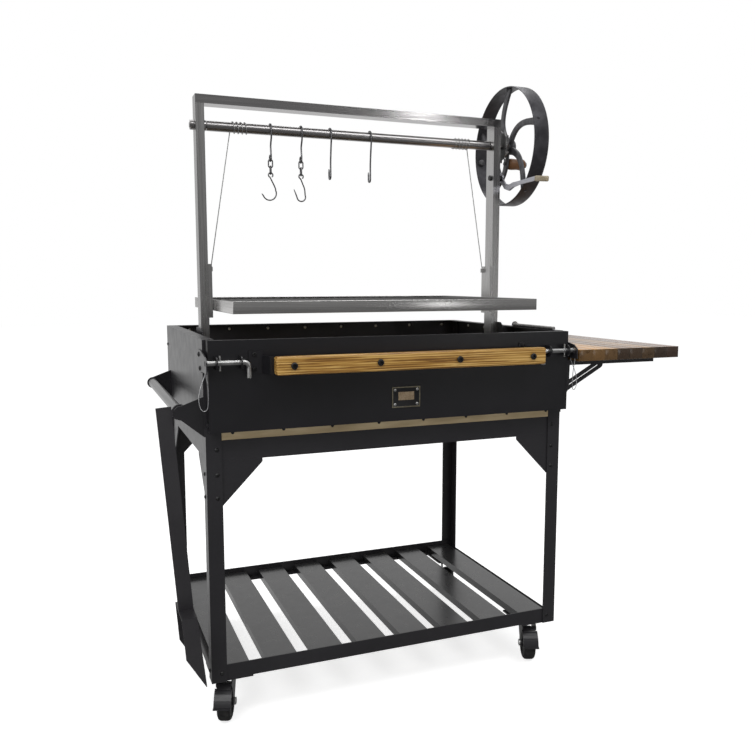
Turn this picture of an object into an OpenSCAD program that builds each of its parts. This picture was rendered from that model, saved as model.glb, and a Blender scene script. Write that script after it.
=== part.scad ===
// Wood-fire grill cart: firebox with a drop-front door, a grate lifted by a
// hand-wheel winch, hanging hooks, a folding side table and an ash shovel.
// Millimetres, +Z up, +Y to the back. The origin is on the floor, under the
// middle of the four corner posts.

/* [Cart frame] */
// Width over the outsides of the corner posts
frame_w = 1048; // [960:1:1200]
// Depth over the outsides of the corner posts
frame_d = 700; // [660:1:800]
// Floor to the top of the firebox rim
rim_z = 1028; // [980:1:1080]
// Leg length of the corner angles
post_leg = 40; // [36:1:46]
// Thickness of the corner angles
post_t = 4; // [3:0.5:5]
// Thickness of the folded sheet parts
sheet_t = 3; // [2:0.5:4]
// Height of the aprons under the firebox
apron_h = 76; // [66:1:90]
// Width of the lips folded along the aprons
apron_lip = 18; // [12:1:24]
// How far a corner gusset reaches past the post
gusset_reach = 105; // [80:1:130]
// Height of a corner gusset
gusset_h = 117; // [90:1:140]
// Diameter of the domed bolt heads
bolt_d = 11; // [9:0.5:13]
// Height of the domed bolt heads
bolt_h = 3.4; // [2.5:0.1:4]

/* [Firebox] */
// Depth of the firebox from its rim to its floor pan
firebox_h = 233; // [200:1:260]
// Height of the side and rear panels
panel_h = 244; // [235:1:262]
// Width of the rim flange on the side panels
side_rim_w = 30; // [20:1:34]
// Width of the rim flange on the rear panel
rear_rim_w = 23; // [15:1:30]
// Height of the bare lip along the front of the floor pan
pan_lip_h = 25; // [20:1:30]
// Spacing of the bolts along the front lip and the rear panel
row_pitch = 133; // [110:1:140]
// Number of bolts in each of these rows
row_count = 8; // [6:1:8]
// Length of the round rod on the right rim
rim_rod_l = 230; // [150:1:260]
// Diameter of the round rod on the right rim
rim_rod_d = 10; // [8:0.5:12]

/* [Door] */
// Height of the drop-front door
door_h = 229; // [210:1:231]
// How far the door's returns stand in from the outsides of the posts
door_inset = 4; // [3:0.5:6]
// Depth of the returns at the ends of the door
door_return = 36; // [32:1:42]
// Gap between a return and the post behind it
door_gap = 2; // [1.5:0.1:3]
// Depth of the lip along the top of the door
door_lip = 15; // [10:1:18]
// Pivot height above the lower edge of the door
pivot_up = 16; // [14:1:17]
// Diameter of the door's pivot pins
pivot_d = 8; // [6:0.5:9]
// Length of the wooden door handle
handle_l = 768; // [700:1:800]
// Height of the wooden door handle
handle_h = 46; // [40:1:52]
// Thickness of the wooden door handle
handle_t = 28; // [22:1:32]
// Clear space between the door and its handle
handle_gap = 40; // [34:1:50]
// Middle of the handle to the right of the middle of the door
handle_shift = 18; // [10:1:25]
// Middle of the handle above the lower edge of the door
handle_up = 167; // [155:1:175]
// Width of the blank name plate
plate_w = 82; // [60:1:100]
// Height of the blank name plate
plate_h = 56; // [40:1:70]
// Middle of the name plate above the lower edge of the door
plate_up = 64; // [55:1:71]

/* [Door latch] */
// Diameter of the sliding lock pins
pin_d = 12.7; // [10:0.1:14]
// Running clearance of the pins, on the radius
pin_fit = 0.1; // [0.05:0.01:0.1]
// Length of the straight run of a lock pin
pin_l = 91; // [91:1:110]
// Length of the turned-down leg of a lock pin
pin_leg = 38; // [30:1:44]
// Middle of the pins in front of the door
pin_out = 20; // [18:1:22]
// Middle of the pins above the lower edge of the door
pin_up = 175; // [170:1:185]
// Thickness of the lugs that guide the pins
lug_t = 3; // [2.5:0.5:4]
// Least gap between a handle bracket and a lock pin's leg
strap_gap = 4; // [3:0.5:8]
// Diameter of the cable loops under the latch tabs
lanyard_d = 2; // [1.6:0.1:2.6]

/* [Shelf and casters] */
// Floor to the underside of the posts
caster_h = 131; // [128:1:140]
// Height of the shelf rails
rail_h = 40; // [38:1:46]
// Height of the lower rails along the sides
side_rail_h = 22; // [18:1:30]
// Width of the lip that carries the slats
rail_lip = 28; // [22:1:34]
// Number of shelf slats
slat_count = 8; // [7:1:8]
// Width of a shelf slat
slat_w = 88; // [80:1:94]
// Spacing of the shelf slats
slat_pitch = 132; // [120:1:133]
// Height of a shelf slat
slat_h = 22; // [20:1:37]
// Thickness of the slat sheet
slat_t = 2.5; // [2:0.5:3]
// Diameter of the caster wheels
wheel_d = 100; // [92:1:102]
// Width of the caster wheels
wheel_w = 34; // [28:1:38]
// Distance the wheels trail behind the swivel
trail = 22; // [18:1:26]
// Diameter of the caster axles
axle_d = 10; // [8:0.5:12]
// Angle that the casters stand swivelled to
caster_turn = -21; // [-40:1:40]

/* [Lift frame] */
// Narrow side of the tube of the uprights and the top bar
tube_w = 24; // [22:0.5:26]
// Deep side of that tube, from front to back
tube_d = 46; // [42:1:50]
// Wall of the tube
tube_t = 2.5; // [2:0.5:3]
// Outside face of an upright in from the outside of the posts
upright_in = 44; // [40:1:48]
// Middle of the uprights in front of the middle of the frame
upright_fwd = 28; // [0:1:40]
// Floor to the top of the top bar
lift_top_z = 1682; // [1640:1:1720]
// Height of the shaft's axis below the top of the top bar
shaft_drop = 80; // [70:1:90]
// Diameter of the winch shaft
shaft_d = 28; // [24:0.5:30]
// Diameter of the shaft's journals
journal_d = 16; // [14:0.5:18]
// Running clearance of the journals, on the radius
journal_fit = 0.08; // [0.05:0.01:0.1]
// Diameter of the lift cables
cable_d = 3; // [2.5:0.1:3.5]
// Turns of cable on the left of the shaft
turns_left = 4; // [3:1:5]
// Turns of cable on the right of the shaft
turns_right = 5; // [4:1:6]
// Spacing of the turns along the shaft
turn_pitch = 11.5; // [8:0.5:13]

/* [Hand wheel] */
// Outside diameter of the hand wheel
hand_d = 372; // [340:1:390]
// Width of the hand wheel's band
band_w = 52; // [40:1:56]
// Thickness of the hand wheel's band
band_t = 4; // [3:0.5:5]
// Number of curved spokes
spoke_count = 5; // [4:1:6]
// Width of a spoke
spoke_w = 20; // [16:1:24]
// Thickness of the spokes
spoke_t = 8; // [6:0.5:10]
// Diameter of the wooden knob
knob_d = 36; // [30:1:40]
// Length of the wooden knob
knob_l = 60; // [50:1:80]
// Distance of the knob from the shaft's axis
knob_r = 52; // [46:1:60]
// Tip diameter of the ratchet wheel
ratchet_d = 104; // [96:1:110]
// Number of ratchet teeth
ratchet_teeth = 12; // [10:1:16]
// Thickness of the ratchet wheel and the pawl lever
ratchet_t = 6; // [5:0.5:7]
// Distance of the pawl's pivot below the shaft's axis
pawl_drop = 101; // [95:1:106]

/* [Grate] */
// Depth of the grate from front to back
grate_d = 613; // [560:1:640]
// Height of the grate's rim
grate_h = 32; // [26:1:38]
// Thickness of the grate's rim
grate_t = 3; // [2.5:0.5:4]
// Gap between the grate's underside and the firebox rim
grate_up = 61; // [50:1:80]
// Gap between an upright and the grate's rim
grate_gap = 11; // [11:0.5:14]
// Number of V bars
bar_count = 34; // [28:1:36]
// Width of a V bar
bar_w = 17; // [14:0.5:18]
// Length of a slide sleeve
sleeve_l = 151; // [120:1:160]

/* [Hooks] */
// Diameter of the hook wire
hook_wire = 5; // [4:0.1:5.5]
// Diameter of the chain link wire
link_d = 4; // [3.5:0.1:4]

/* [Side table] */
// Length of the table top outwards
table_l = 368; // [330:1:400]
// Depth of the table top from front to back
table_d = 640; // [600:1:680]
// Thickness of the table top
table_t = 34; // [28:1:40]
// Table top below the firebox rim
table_down = 56; // [50:1:60]
// Length of the folding arms
arm_l = 314; // [280:1:320]
// Height of the folding arms
arm_h = 14; // [12:1:14]
// Width of the folding arms
arm_w = 20; // [18:1:22]
// Width of the diagonal braces
brace_w = 25; // [18:1:25]

/* [Tool bar and shovel] */
// Diameter of the tool bar
tool_bar_d = 27; // [24:1:30]
// Length of the tool bar
tool_bar_l = 644; // [560:1:660]
// Axis of the tool bar out from the side panel
tool_bar_out = 56; // [50:1:64]
// Axis of the tool bar below the firebox rim
tool_bar_down = 180; // [170:1:190]
// Width of the shovel's flat handle
shovel_w = 38; // [30:1:40]
// Thickness of the shovel's flat handle
shovel_t = 6; // [5:0.5:8]
// Drop of the shovel's handle from the bar to the scoop
shovel_l = 527; // [480:1:540]
// How far the shovel's handle leans in on this drop
shovel_in = 40; // [30:1:42]
// Width of the shovel's scoop
scoop_w = 126; // [100:1:140]
// Height of the scoop
scoop_l = 187; // [160:1:200]
// Thickness of the scoop's sheet
scoop_t = 2; // [1.5:0.5:2.5]

/* [Hidden] */
$fn = 48;

// Gap that keeps moving faces apart
clear = 0.3;
// Joint line between two separate sheets of one group
seam = 0.2;
// Half sizes of the frame and the inside faces of the posts
half_w = frame_w / 2;
half_d = frame_d / 2;
in_x = half_w - post_t;
in_y = half_d - post_t;
// Heights of the frame
apron_z1 = rim_z - firebox_h;
apron_z0 = apron_z1 - apron_h;
panel_z0 = rim_z - panel_h;
pad_t = 4.5;
rail_z0 = caster_h + pad_t;
slat_z0 = rail_z0 + sheet_t;
// Spacings that follow the width of the frame
slat_step = slat_pitch * frame_w / 1048;
row_step = row_pitch * frame_w / 1048;
// Outside faces of the side panels
panel_x = half_w + sheet_t;

// Door frame of reference
door_x = half_w - door_inset;
door_y = -half_d - door_gap - door_return;
door_z0 = rim_z - door_h;
pivot_y = door_y + door_return / 2;
pivot_z = door_z0 + pivot_up;
handle_z = door_z0 + handle_up;
handle_y = door_y - handle_gap;
handle_x0 = handle_shift - handle_l / 2;
handle_x1 = handle_shift + handle_l / 2;
pin_y = door_y - pin_out;
pin_z = door_z0 + pin_up;
lug_r = pin_out - 4;
lug_out_x = door_x - 17;
lug_in_x = door_x - 78;
tab_bottom = pin_z - 24;
// Legs of the lock pins, and the handle brackets' feet clear of them
leg_x = panel_x - clear - pin_l - pin_d;
strap_l = max(handle_x0 - 18, -leg_x + pin_d / 2 + strap_gap + 3);
strap_r = min(handle_x1 - 14, leg_x - pin_d / 2 - strap_gap - 12);

// Lift frame
up_x1 = half_w - upright_in;
up_x0 = up_x1 - tube_w;
up_y = -upright_fwd;
shaft_z = lift_top_z - shaft_drop;
bearing_d = journal_d + 6;
bearing_rim = journal_d + 14;
wind_gap = 0.25;
wind_r = shaft_d / 2 + cable_d / 2 + wind_gap;
cable_y = up_y + wind_r;
shaft_end = up_x0 - 9;
wind_x = shaft_end - 69;

// Grate
grate_x = up_x0 - grate_gap;
grate_z0 = rim_z + grate_up;
grate_z1 = grate_z0 + grate_h;
sleeve_z0 = grate_z0 - 20;
sleeve_fit = 1;
sleeve_web = up_x0 - 7;

// Winch outside the right upright
ratchet_x = up_x1 + 11.5;
band_x = ratchet_x + ratchet_t + 4.5;
spoke_x = band_x + 14;
knob_ang = 263;
pawl_y = up_y - 6;
pawl_z = shaft_z - pawl_drop;
pawl_pin_d = 10;
// Pawl reach and rest angle: the nose rests off the tooth tips and turns in to a tooth gap
pawl_far = norm([up_y - pawl_y, pawl_drop]);
pawl_lean = atan2(up_y - pawl_y, pawl_drop);
pawl_in = ratchet_d / 2 - 6;
pawl_off = ratchet_d / 2 + 0.7;
pawl_bite = 8;
pawl_reach = pawl_far * cos(pawl_bite) - sqrt(pow(pawl_in, 2) - pow(pawl_far * sin(pawl_bite), 2));
pawl_rest = acos((pow(pawl_far, 2) + pow(pawl_reach, 2) - pow(pawl_off, 2)) / (2 * pawl_far * pawl_reach));

// Casters: plates inside the corners, swivel axes under their middles
pad_w = 106;
pad_d = 116;
caster_x = in_x - 48;
caster_y = in_y - 68;
plate_t = 4;
axle_z = wheel_d / 2;

// Side table
fold_x = panel_x + 29;
fold_z = rim_z - table_down - table_t - arm_h / 2 - 1;
brace_x = panel_x + 18.5;
brace_z = fold_z - 77;
arm_z1 = fold_z + arm_h / 2 + 1;
arm_y = [door_y + 43, door_y + table_d - 43 - arm_w];
brace_tip = [fold_x + 115, arm_z1 - sheet_t - brace_w / 2 - 0.8];
brace_len = norm([brace_tip[0] - brace_x, brace_tip[1] - brace_z]);
brace_ang = atan2(brace_tip[1] - brace_z, brace_tip[0] - brace_x);
fold_pin_d = 8;

// Tool bar and shovel, on the left
bar_x = -panel_x - tool_bar_out;
bar_z = rim_z - tool_bar_down;
bar_y0 = -half_d + sheet_t;
shovel_y = bar_y0 + 17;

// Places of the hooks along the shaft
hook_x = [-266, -175, -86, 40];
hook_bend = shaft_d / 2 + 0.5 + hook_wire / 2;

// Route of a cable loop under the left latch tab, measured from the tab's lower edge
lanyard_route = [[0, 15, 0], [0, 15, -6], [-3, 14, -14], [-9, 12, -28], [-14, 10, -44], [-17, 8, -60],
    [-16, 6, -76], [-13, 5, -86], [-7, 3, -92], [0, 1, -90], [3, -1, -82], [4, -2, -70], [4.5, -3, -56],
    [4.5, -4, -42], [3.5, -5, -28], [1.5, -5, -16], [0, -5, -6], [0, -5, 0]];

function unit(v) = v / norm(v);
function turn(v, a) = [v[0] * cos(a) - v[1] * sin(a), v[0] * sin(a) + v[1] * cos(a)];
function heading(path, i, closed) = let (n = len(path),
    a = closed ? path[(i + n - 1) % n] : path[max(i - 1, 0)],
    b = closed ? path[(i + 1) % n] : path[min(i + 1, n - 1)]) unit(b - a);
function section(c, t, side, r, m) = let (u = unit(cross(side, t)), v = cross(t, u))
    [for (k = [0 : m - 1]) c + r * (cos(360 * k / m) * u + sin(360 * k / m) * v)];
// Points on an arc in the YZ plane, angles from +Y towards +Z
function arc_yz(x, y, z, r, a0, a1, n) = [for (i = [0 : n])
    let (a = a0 + (a1 - a0) * i / n) [x, y + r * cos(a), z + r * sin(a)]];
// Points on an arc in the XZ plane, angles from +X towards +Z
function arc_xz(x, y, z, r, a0, a1, n) = [for (i = [0 : n])
    let (a = a0 + (a1 - a0) * i / n) [x + r * cos(a), y, z + r * sin(a)]];
// Winding that starts at the back of the shaft, runs up over it and ends under its clamp
function winding(x0, step, turns) = let (lead = cable_d * 1.2) concat(
    [[x0, cable_y, shaft_z - lead]],
    [for (i = [0 : 24 * turns]) let (a = 15 * i) [x0 + step * a / 360,
        up_y + wind_r * cos(a), shaft_z + wind_r * sin(a)]],
    [[x0 + step * turns, cable_y, shaft_z + lead]]);
// Least gap between turns, over points at least half a turn apart
function self_gap(path, d) = min([for (i = [0 : len(path) - 13]) for (j = [i + 12 : len(path) - 1])
    norm(path[i] - path[j])]) - d;

path_left = winding(-wind_x, turn_pitch, turns_left);
path_right = winding(wind_x, -turn_pitch, turns_right);
echo(winding_gap_left = self_gap(path_left, cable_d), winding_gap_right = self_gap(path_right, cable_d));

// A tube swept along points; side is a direction that the path never follows
module tube(path, d, side, sides = 8, closed = false) {
    n = len(path);
    m = sides;
    points = [for (i = [0 : n - 1]) each section(path[i], heading(path, i, closed), side, d / 2, m)];
    skin = [for (i = [0 : closed ? n - 1 : n - 2]) for (k = [0 : m - 1])
        let (a = i * m + k, b = i * m + (k + 1) % m, c = (i + 1) % n * m + k,
            e = (i + 1) % n * m + (k + 1) % m)
        each [[a, e, b], [a, c, e]]];
    first = [for (k = [1 : m - 2]) [0, k, k + 1]];
    last = [for (k = [1 : m - 2]) [(n - 1) * m, (n - 1) * m + k + 1, (n - 1) * m + k]];
    polyhedron(points, closed ? skin : concat(skin, first, last));
}

// Box between two corners
module block(a, b) {
    translate(a) cube(b - a);
}

// Cylinder along X, Y
module rod_x(x0, x1, y, z, d) {
    translate([x0, y, z]) rotate([0, 90, 0]) cylinder(d = d, h = x1 - x0);
}

module rod_y(y0, y1, x, z, d) {
    translate([x, y0, z]) rotate([-90, 0, 0]) cylinder(d = d, h = y1 - y0);
}

// A flat outline given in Y and Z, thick along X from x0
module slab_x(x0, t) {
    translate([x0, 0, 0]) rotate([90, 0, 90]) linear_extrude(t) children();
}

// A flat outline given in X and Z, thick along Y from y0
module slab_y(y0, t) {
    translate([0, y0 + t, 0]) rotate([90, 0, 0]) linear_extrude(t) children();
}

// A straight bar with round ends in a flat outline
module link_2d(p, q, w) {
    d = q - p;
    translate(p) rotate(atan2(d[1], d[0])) translate([0, -w / 2]) square([norm(d), w]);
    translate(p) circle(d = w);
    translate(q) circle(d = w);
}

// Domed bolt head on a face, pointing along +Z
module bolt_head(s = 1) {
    intersection() {
        cylinder(d = bolt_d * s, h = bolt_h * s);
        translate([0, 0, -bolt_d * s * 0.35]) sphere(d = bolt_d * s * 1.3);
    }
}

module mirrored(sx, sy) {
    mirror([sx < 0 ? 1 : 0, 0, 0]) mirror([0, sy < 0 ? 1 : 0, 0]) children();
}

module corner_post() {
    block([half_w - post_leg, in_y, caster_h], [half_w, half_d, rim_z - sheet_t]);
    block([in_x, half_d - post_leg, caster_h], [half_w, in_y, rim_z - sheet_t]);
}

module corner_posts() {
    color("#26272a") for (sx = [-1, 1]) for (sy = [-1, 1]) mirrored(sx, sy) corner_post();
}

module aprons() {
    color("#2a2b2e") {
        for (sy = [-1, 1]) mirrored(1, sy) {
            block([-in_x, in_y - sheet_t, apron_z0], [in_x, in_y, apron_z1]);
            block([-in_x, in_y - sheet_t - apron_lip, apron_z0], [in_x, in_y - sheet_t, apron_z0 + sheet_t]);
        }
        for (sx = [-1, 1]) mirrored(sx, 1) {
            end_y = in_y - sheet_t - seam;
            lip_y = end_y - apron_lip;
            block([in_x - sheet_t, -end_y, apron_z0 + sheet_t + seam], [in_x, end_y, apron_z1]);
            block([in_x - sheet_t - apron_lip, -lip_y, apron_z0], [in_x, lip_y, apron_z0 + sheet_t + seam]);
        }
    }
}

// Gusset outline from the inside of the post, first axis inwards
module gusset_2d(start) {
    top = apron_z0 - seam;
    reach = post_leg + gusset_reach - post_t;
    polygon([[start, top], [reach, top], [reach, top - 9], [post_leg - post_t, top - gusset_h],
        [start, top - gusset_h]]);
}

module corner_gussets() {
    color("#2a2b2e") for (sx = [-1, 1]) for (sy = [-1, 1]) mirrored(sx, sy) {
        translate([in_x, 0, 0]) mirror([1, 0, 0]) slab_y(in_y - sheet_t, sheet_t) gusset_2d(0);
        translate([0, in_y, 0]) mirror([0, 1, 0]) slab_x(in_x - sheet_t, sheet_t) gusset_2d(sheet_t + seam);
    }
}

module shelf_rails() {
    color("#26272a") {
        for (sy = [-1, 1]) mirrored(1, sy) {
            block([-in_x, in_y - sheet_t, rail_z0], [in_x, in_y, rail_z0 + rail_h]);
            block([-in_x, in_y - sheet_t - rail_lip, rail_z0], [in_x, in_y - sheet_t, slat_z0]);
        }
        for (sx = [-1, 1]) mirrored(sx, 1) {
            end_y = in_y - sheet_t - seam;
            lip_y = end_y - rail_lip;
            block([in_x - sheet_t, -end_y, slat_z0 + seam], [in_x, end_y, rail_z0 + side_rail_h]);
            block([in_x - sheet_t - rail_lip, -lip_y, rail_z0], [in_x, lip_y, slat_z0]);
            block([in_x - sheet_t, -lip_y, rail_z0], [in_x, lip_y, slat_z0 + seam]);
        }
    }
}

module shelf_slats() {
    slat_end = in_y - sheet_t - 1.5;
    color("#303134") for (i = [0 : slat_count - 1]) {
        x = (i - (slat_count - 1) / 2) * slat_step;
        difference() {
            block([x - slat_w / 2, -slat_end, slat_z0], [x + slat_w / 2, slat_end, slat_z0 + slat_h]);
            block([x - slat_w / 2 + slat_t, -slat_end - 1, slat_z0 - 1],
                [x + slat_w / 2 - slat_t, slat_end + 1, slat_z0 + slat_h - slat_t]);
        }
    }
}

module firebox_panels() {
    flange_x = panel_x - side_rim_w;
    flange_y = half_d + sheet_t - rear_rim_w;
    color("#232427") {
        for (sx = [-1, 1]) mirrored(sx, 1) {
            block([half_w, -half_d, panel_z0], [panel_x, half_d + sheet_t, rim_z]);
            block([flange_x, -half_d, rim_z - sheet_t], [half_w, half_d + sheet_t, rim_z]);
        }
        rear_x = flange_x - seam;
        block([-half_w + seam, half_d, panel_z0], [half_w - seam, half_d + sheet_t, rim_z - sheet_t - seam]);
        block([-rear_x, flange_y, rim_z - sheet_t], [rear_x, half_d + sheet_t, rim_z]);
        block([-rear_x, half_d, rim_z - 2 * sheet_t], [rear_x, half_d + sheet_t, rim_z - sheet_t]);
    }
}

module floor_pan() {
    pan_z1 = apron_z1 + sheet_t;
    lip_x = half_w - post_leg - 0.5;
    color("#b9ac93") {
        block([-in_x + 0.5, -in_y, apron_z1], [in_x - 0.5, in_y - 0.5, pan_z1]);
        block([-lip_x, -in_y - sheet_t, pan_z1 - pan_lip_h], [lip_x, -in_y, pan_z1]);
    }
}

// Short round rod with a collar along the front half of the right rim
module rim_rod() {
    x = panel_x - side_rim_w / 2;
    z = rim_z + rim_rod_d / 2;
    y0 = -half_d + 24;
    color("#8d8f92") {
        rod_y(y0, y0 + rim_rod_l, x, z, rim_rod_d);
        difference() {
            rod_y(y0 + rim_rod_l - 14, y0 + rim_rod_l - 8, x, z + 2, rim_rod_d + 8);
            block([x - 20, y0, rim_z - 20], [x + 20, y0 + rim_rod_l, rim_z]);
        }
    }
}

module frame_bolts() {
    row_x0 = -(row_count - 1) / 2 * row_step + 10;
    color("#1c1d1f") {
        for (sx = [-1, 1]) for (sy = [-1, 1]) mirrored(sx, sy) {
            for (z = [apron_z0 - 35, apron_z0 - 95, rail_z0 + 20]) {
                translate([half_w - post_leg * 0.68, half_d, z]) rotate([-90, 0, 0]) bolt_head();
                translate([half_w, half_d - post_leg * 0.68, z]) rotate([0, 90, 0]) bolt_head();
            }
            translate([half_w - post_leg * 0.68, half_d, apron_z0 + 30]) rotate([-90, 0, 0]) bolt_head();
        }
        for (i = [0 : row_count - 1]) {
            x = row_x0 + i * row_step;
            translate([x, -in_y - sheet_t, apron_z1 - 4]) rotate([90, 0, 0]) bolt_head(0.8);
            translate([x, half_d, rim_z - 15]) rotate([90, 0, 0]) bolt_head(0.9);
        }
        for (sx = [-1, 1]) mirrored(sx, 1) {
            translate([up_x1 - tube_w / 2, up_y, lift_top_z]) bolt_head(1.1);
            for (y = [0.33, 0.66])
                translate([half_w, half_d * y, rim_z - 15]) rotate([0, -90, 0]) bolt_head(0.9);
            for (z = [panel_z0 + 40, rim_z - 60]) {
                translate([panel_x, half_d - 12, z]) rotate([0, 90, 0]) bolt_head();
            }
            for (p = [[32, 16], [18, -18]]) {
                translate([panel_x + sheet_t, -half_d + p[0], pin_z + p[1]])
                    rotate([0, 90, 0]) bolt_head(1.2);
            }
        }
    }
}

// Folded brackets that hold the uprights off the side panels
module upright_brackets() {
    w = 114;
    z0 = rim_z - 98;
    color("#3a3b3e") for (sx = [-1, 1]) mirrored(sx, 1) {
        slab_x(up_x1, sheet_t) polygon([[up_y - w / 2, z0], [up_y + w / 2, z0], [up_y + w / 2, rim_z - 4],
            [up_y + w / 2 - 16, rim_z + 12], [up_y - w / 2 + 16, rim_z + 12], [up_y - w / 2, rim_z - 4]]);
        for (s = [-1, 1]) {
            y = up_y + s * (w - sheet_t) / 2;
            block([up_x1 + sheet_t, y - sheet_t / 2, z0], [half_w, y + sheet_t / 2, rim_z - sheet_t]);
        }
    }
}

module upright() {
    z0 = rim_z - 98;
    z1 = lift_top_z - tube_w;
    difference() {
        block([up_x0, up_y - tube_d / 2, z0], [up_x1, up_y + tube_d / 2, z1]);
        block([up_x0 + tube_t, up_y - tube_d / 2 + tube_t, z0 - 1],
            [up_x1 - tube_t, up_y + tube_d / 2 - tube_t, z1 + 1]);
        rod_x(up_x0 - 1, up_x1 + 1, up_y, shaft_z, bearing_d);
    }
}

module upright_left() {
    color("#a9abad") mirrored(-1, 1) upright();
}

module upright_right() {
    color("#a9abad") upright();
}

module top_bar() {
    cap_t = 2;
    z0 = lift_top_z - tube_w;
    color("#a9abad") {
        difference() {
            block([-up_x1 + cap_t, up_y - tube_d / 2, z0], [up_x1 - cap_t, up_y + tube_d / 2, lift_top_z]);
            block([-up_x1, up_y - tube_d / 2 + tube_t, z0 + tube_t],
                [up_x1, up_y + tube_d / 2 - tube_t, lift_top_z - tube_t]);
        }
        for (sx = [-1, 1]) mirrored(sx, 1) {
            block([up_x1 - cap_t, up_y - tube_d / 2, z0], [up_x1, up_y + tube_d / 2, lift_top_z]);
        }
    }
}

// Flanged bushes in the uprights
module shaft_bearings() {
    color("#77797c") for (sx = [-1, 1]) mirrored(sx, 1) difference() {
        union() {
            rod_x(up_x0 - 6, up_x0, up_y, shaft_z, bearing_rim);
            rod_x(up_x0, up_x1, up_y, shaft_z, bearing_d);
        }
        rod_x(up_x0 - 7, up_x1 + 1, up_y, shaft_z, journal_d + 2 * journal_fit);
    }
}

// Shoulder bolt that carries the pawl lever, with its spacer and the nut inside the upright
module pawl_pivot() {
    head = ratchet_x + ratchet_t + clear;
    color("#77797c") {
        rod_x(up_x1, ratchet_x - clear, pawl_y, pawl_z, pawl_pin_d + 8);
        rod_x(ratchet_x - clear, head, pawl_y, pawl_z, pawl_pin_d);
        rod_x(head, head + 4, pawl_y, pawl_z, pawl_pin_d + 6);
        translate([up_x0 - 6, pawl_y, pawl_z]) rotate([0, 90, 0]) cylinder(d = 17, h = 6, $fn = 6);
    }
}

module tool_bar_plate() {
    tip = tool_bar_d / 2 + 4;
    polygon([[-panel_x, bar_z + 38], [bar_x, bar_z + tip], [bar_x, bar_z - tip], [-panel_x, panel_z0]]);
    translate([bar_x, bar_z]) circle(r = tip);
}

module tool_bar() {
    color("#8e9093") rod_y(bar_y0, bar_y0 + tool_bar_l, bar_x, bar_z, tool_bar_d);
    color("#2a2b2e") for (y = [bar_y0 - sheet_t, bar_y0 + tool_bar_l]) slab_y(y, sheet_t) tool_bar_plate();
}

// Fixed tabs of the door: latch tabs outside, pivot ears with their pins inside the returns
module door_tabs() {
    ear_x = door_x - sheet_t - 1;
    back = -half_d;
    color("#9a9c9e") for (sx = [-1, 1]) mirrored(sx, 1) {
        slab_x(panel_x, sheet_t) difference() {
            polygon([[back + 50, pin_z - 30], [back + 50, pin_z + 28], [back + 12, pin_z + 28],
                [pin_y + 2, pin_z + 16], [pin_y - 15, pin_z + 4], [pin_y - 15, tab_bottom],
                [back - 12, tab_bottom], [back + 20, pin_z - 30]]);
            translate([pin_y, pin_z]) circle(d = pin_d + 1);
        }
        slab_x(ear_x - post_t, post_t) union() {
            translate([pivot_y, pivot_z - pivot_d]) square([back - pivot_y, 2 * pivot_d]);
            translate([pivot_y, pivot_z]) circle(r = pivot_d);
        }
        rod_x(ear_x, door_x + 0.5, pivot_y, pivot_z, pivot_d);
        rod_x(door_x + 0.5, door_x + 3.5, pivot_y, pivot_z, pivot_d + 5);
    }
}

// Wall brackets of the side table, with their hinge pins
module table_brackets() {
    cheek_r = 7;
    color("#232427") for (y = arm_y) {
        y0 = y - 1 - sheet_t;
        y1 = y + arm_w + 1;
        block([panel_x, y0, brace_z - 14], [panel_x + sheet_t, y1 + sheet_t, fold_z + cheek_r]);
        for (c = [y0, y1]) slab_y(c, sheet_t) union() {
            polygon([[panel_x + sheet_t, brace_z - 14], [brace_x, brace_z - 14], [brace_x + 9, brace_z],
                [fold_x, fold_z - cheek_r], [fold_x, fold_z + cheek_r],
                [panel_x + sheet_t, fold_z + cheek_r]]);
            translate([fold_x, fold_z]) circle(r = cheek_r);
        }
        rod_y(y0 + sheet_t, y1, fold_x, fold_z, fold_pin_d);
        rod_y(y0 + sheet_t, y1, brace_x, brace_z, fold_pin_d);
    }
}

// Mounting pads, caster top plates and king pins
module caster_plates() {
    yoke_z = caster_h - plate_t - 9;
    color("#2a2b2e") for (sx = [-1, 1]) for (sy = [-1, 1]) mirrored(sx, sy) {
        block([in_x - pad_w, in_y - pad_d, caster_h], [in_x, in_y, rail_z0]);
        block([caster_x - 46, caster_y - 42, caster_h - plate_t],
            [caster_x + 46, caster_y + 42, caster_h - seam]);
        translate([caster_x, caster_y, yoke_z - 5]) cylinder(d = 12, h = 14);
        translate([caster_x, caster_y, yoke_z - 5]) cylinder(d = 20, h = 4.6);
    }
}

// Place of a caster: its king pin under a corner, its wheel swivelled
module caster_at(sx, sy) {
    translate([sx * caster_x, sy * caster_y, 0]) rotate(caster_turn) children();
}

// Caster drawn round its king pin: the wheel trails to the front
module caster_fork(brake) {
    yoke_z = caster_h - plate_t - 9;
    wy = -trail;
    ly = wheel_w / 2 + 1.5;
    hinge = [wy - 18, axle_z + wheel_d / 2 + 5];
    difference() {
        union() {
            translate([0, 0, yoke_z + 4]) cylinder(d = 56, h = 4.6);
            block([-ly, -30, yoke_z], [ly, 30, yoke_z + 4]);
        }
        translate([0, 0, yoke_z - 1]) cylinder(d = 12.16, h = 12);
    }
    for (s = [-1, 1]) slab_x(s > 0 ? ly : -ly - 3, 3) union() {
        polygon([[-30, yoke_z + 4], [30, yoke_z + 4], [30, yoke_z - 4], [wy + 13, axle_z],
            [wy - 13, axle_z]]);
        translate([wy, axle_z]) circle(r = 13);
        if (brake) {
            polygon([[-30, yoke_z + 4], [wy - 8, axle_z + 30], hinge + [0, -6.5], hinge + [-2, 6]]);
            translate(hinge) circle(r = 6.5);
        }
    }
    rod_x(-ly, ly, wy, axle_z, axle_d);
    for (s = [-1, 1]) mirrored(s, 1) rod_x(ly + 3, ly + 9, wy, axle_z, 17);
    if (brake) rod_x(-ly, ly, hinge[0], hinge[1], 5);
}

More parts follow.
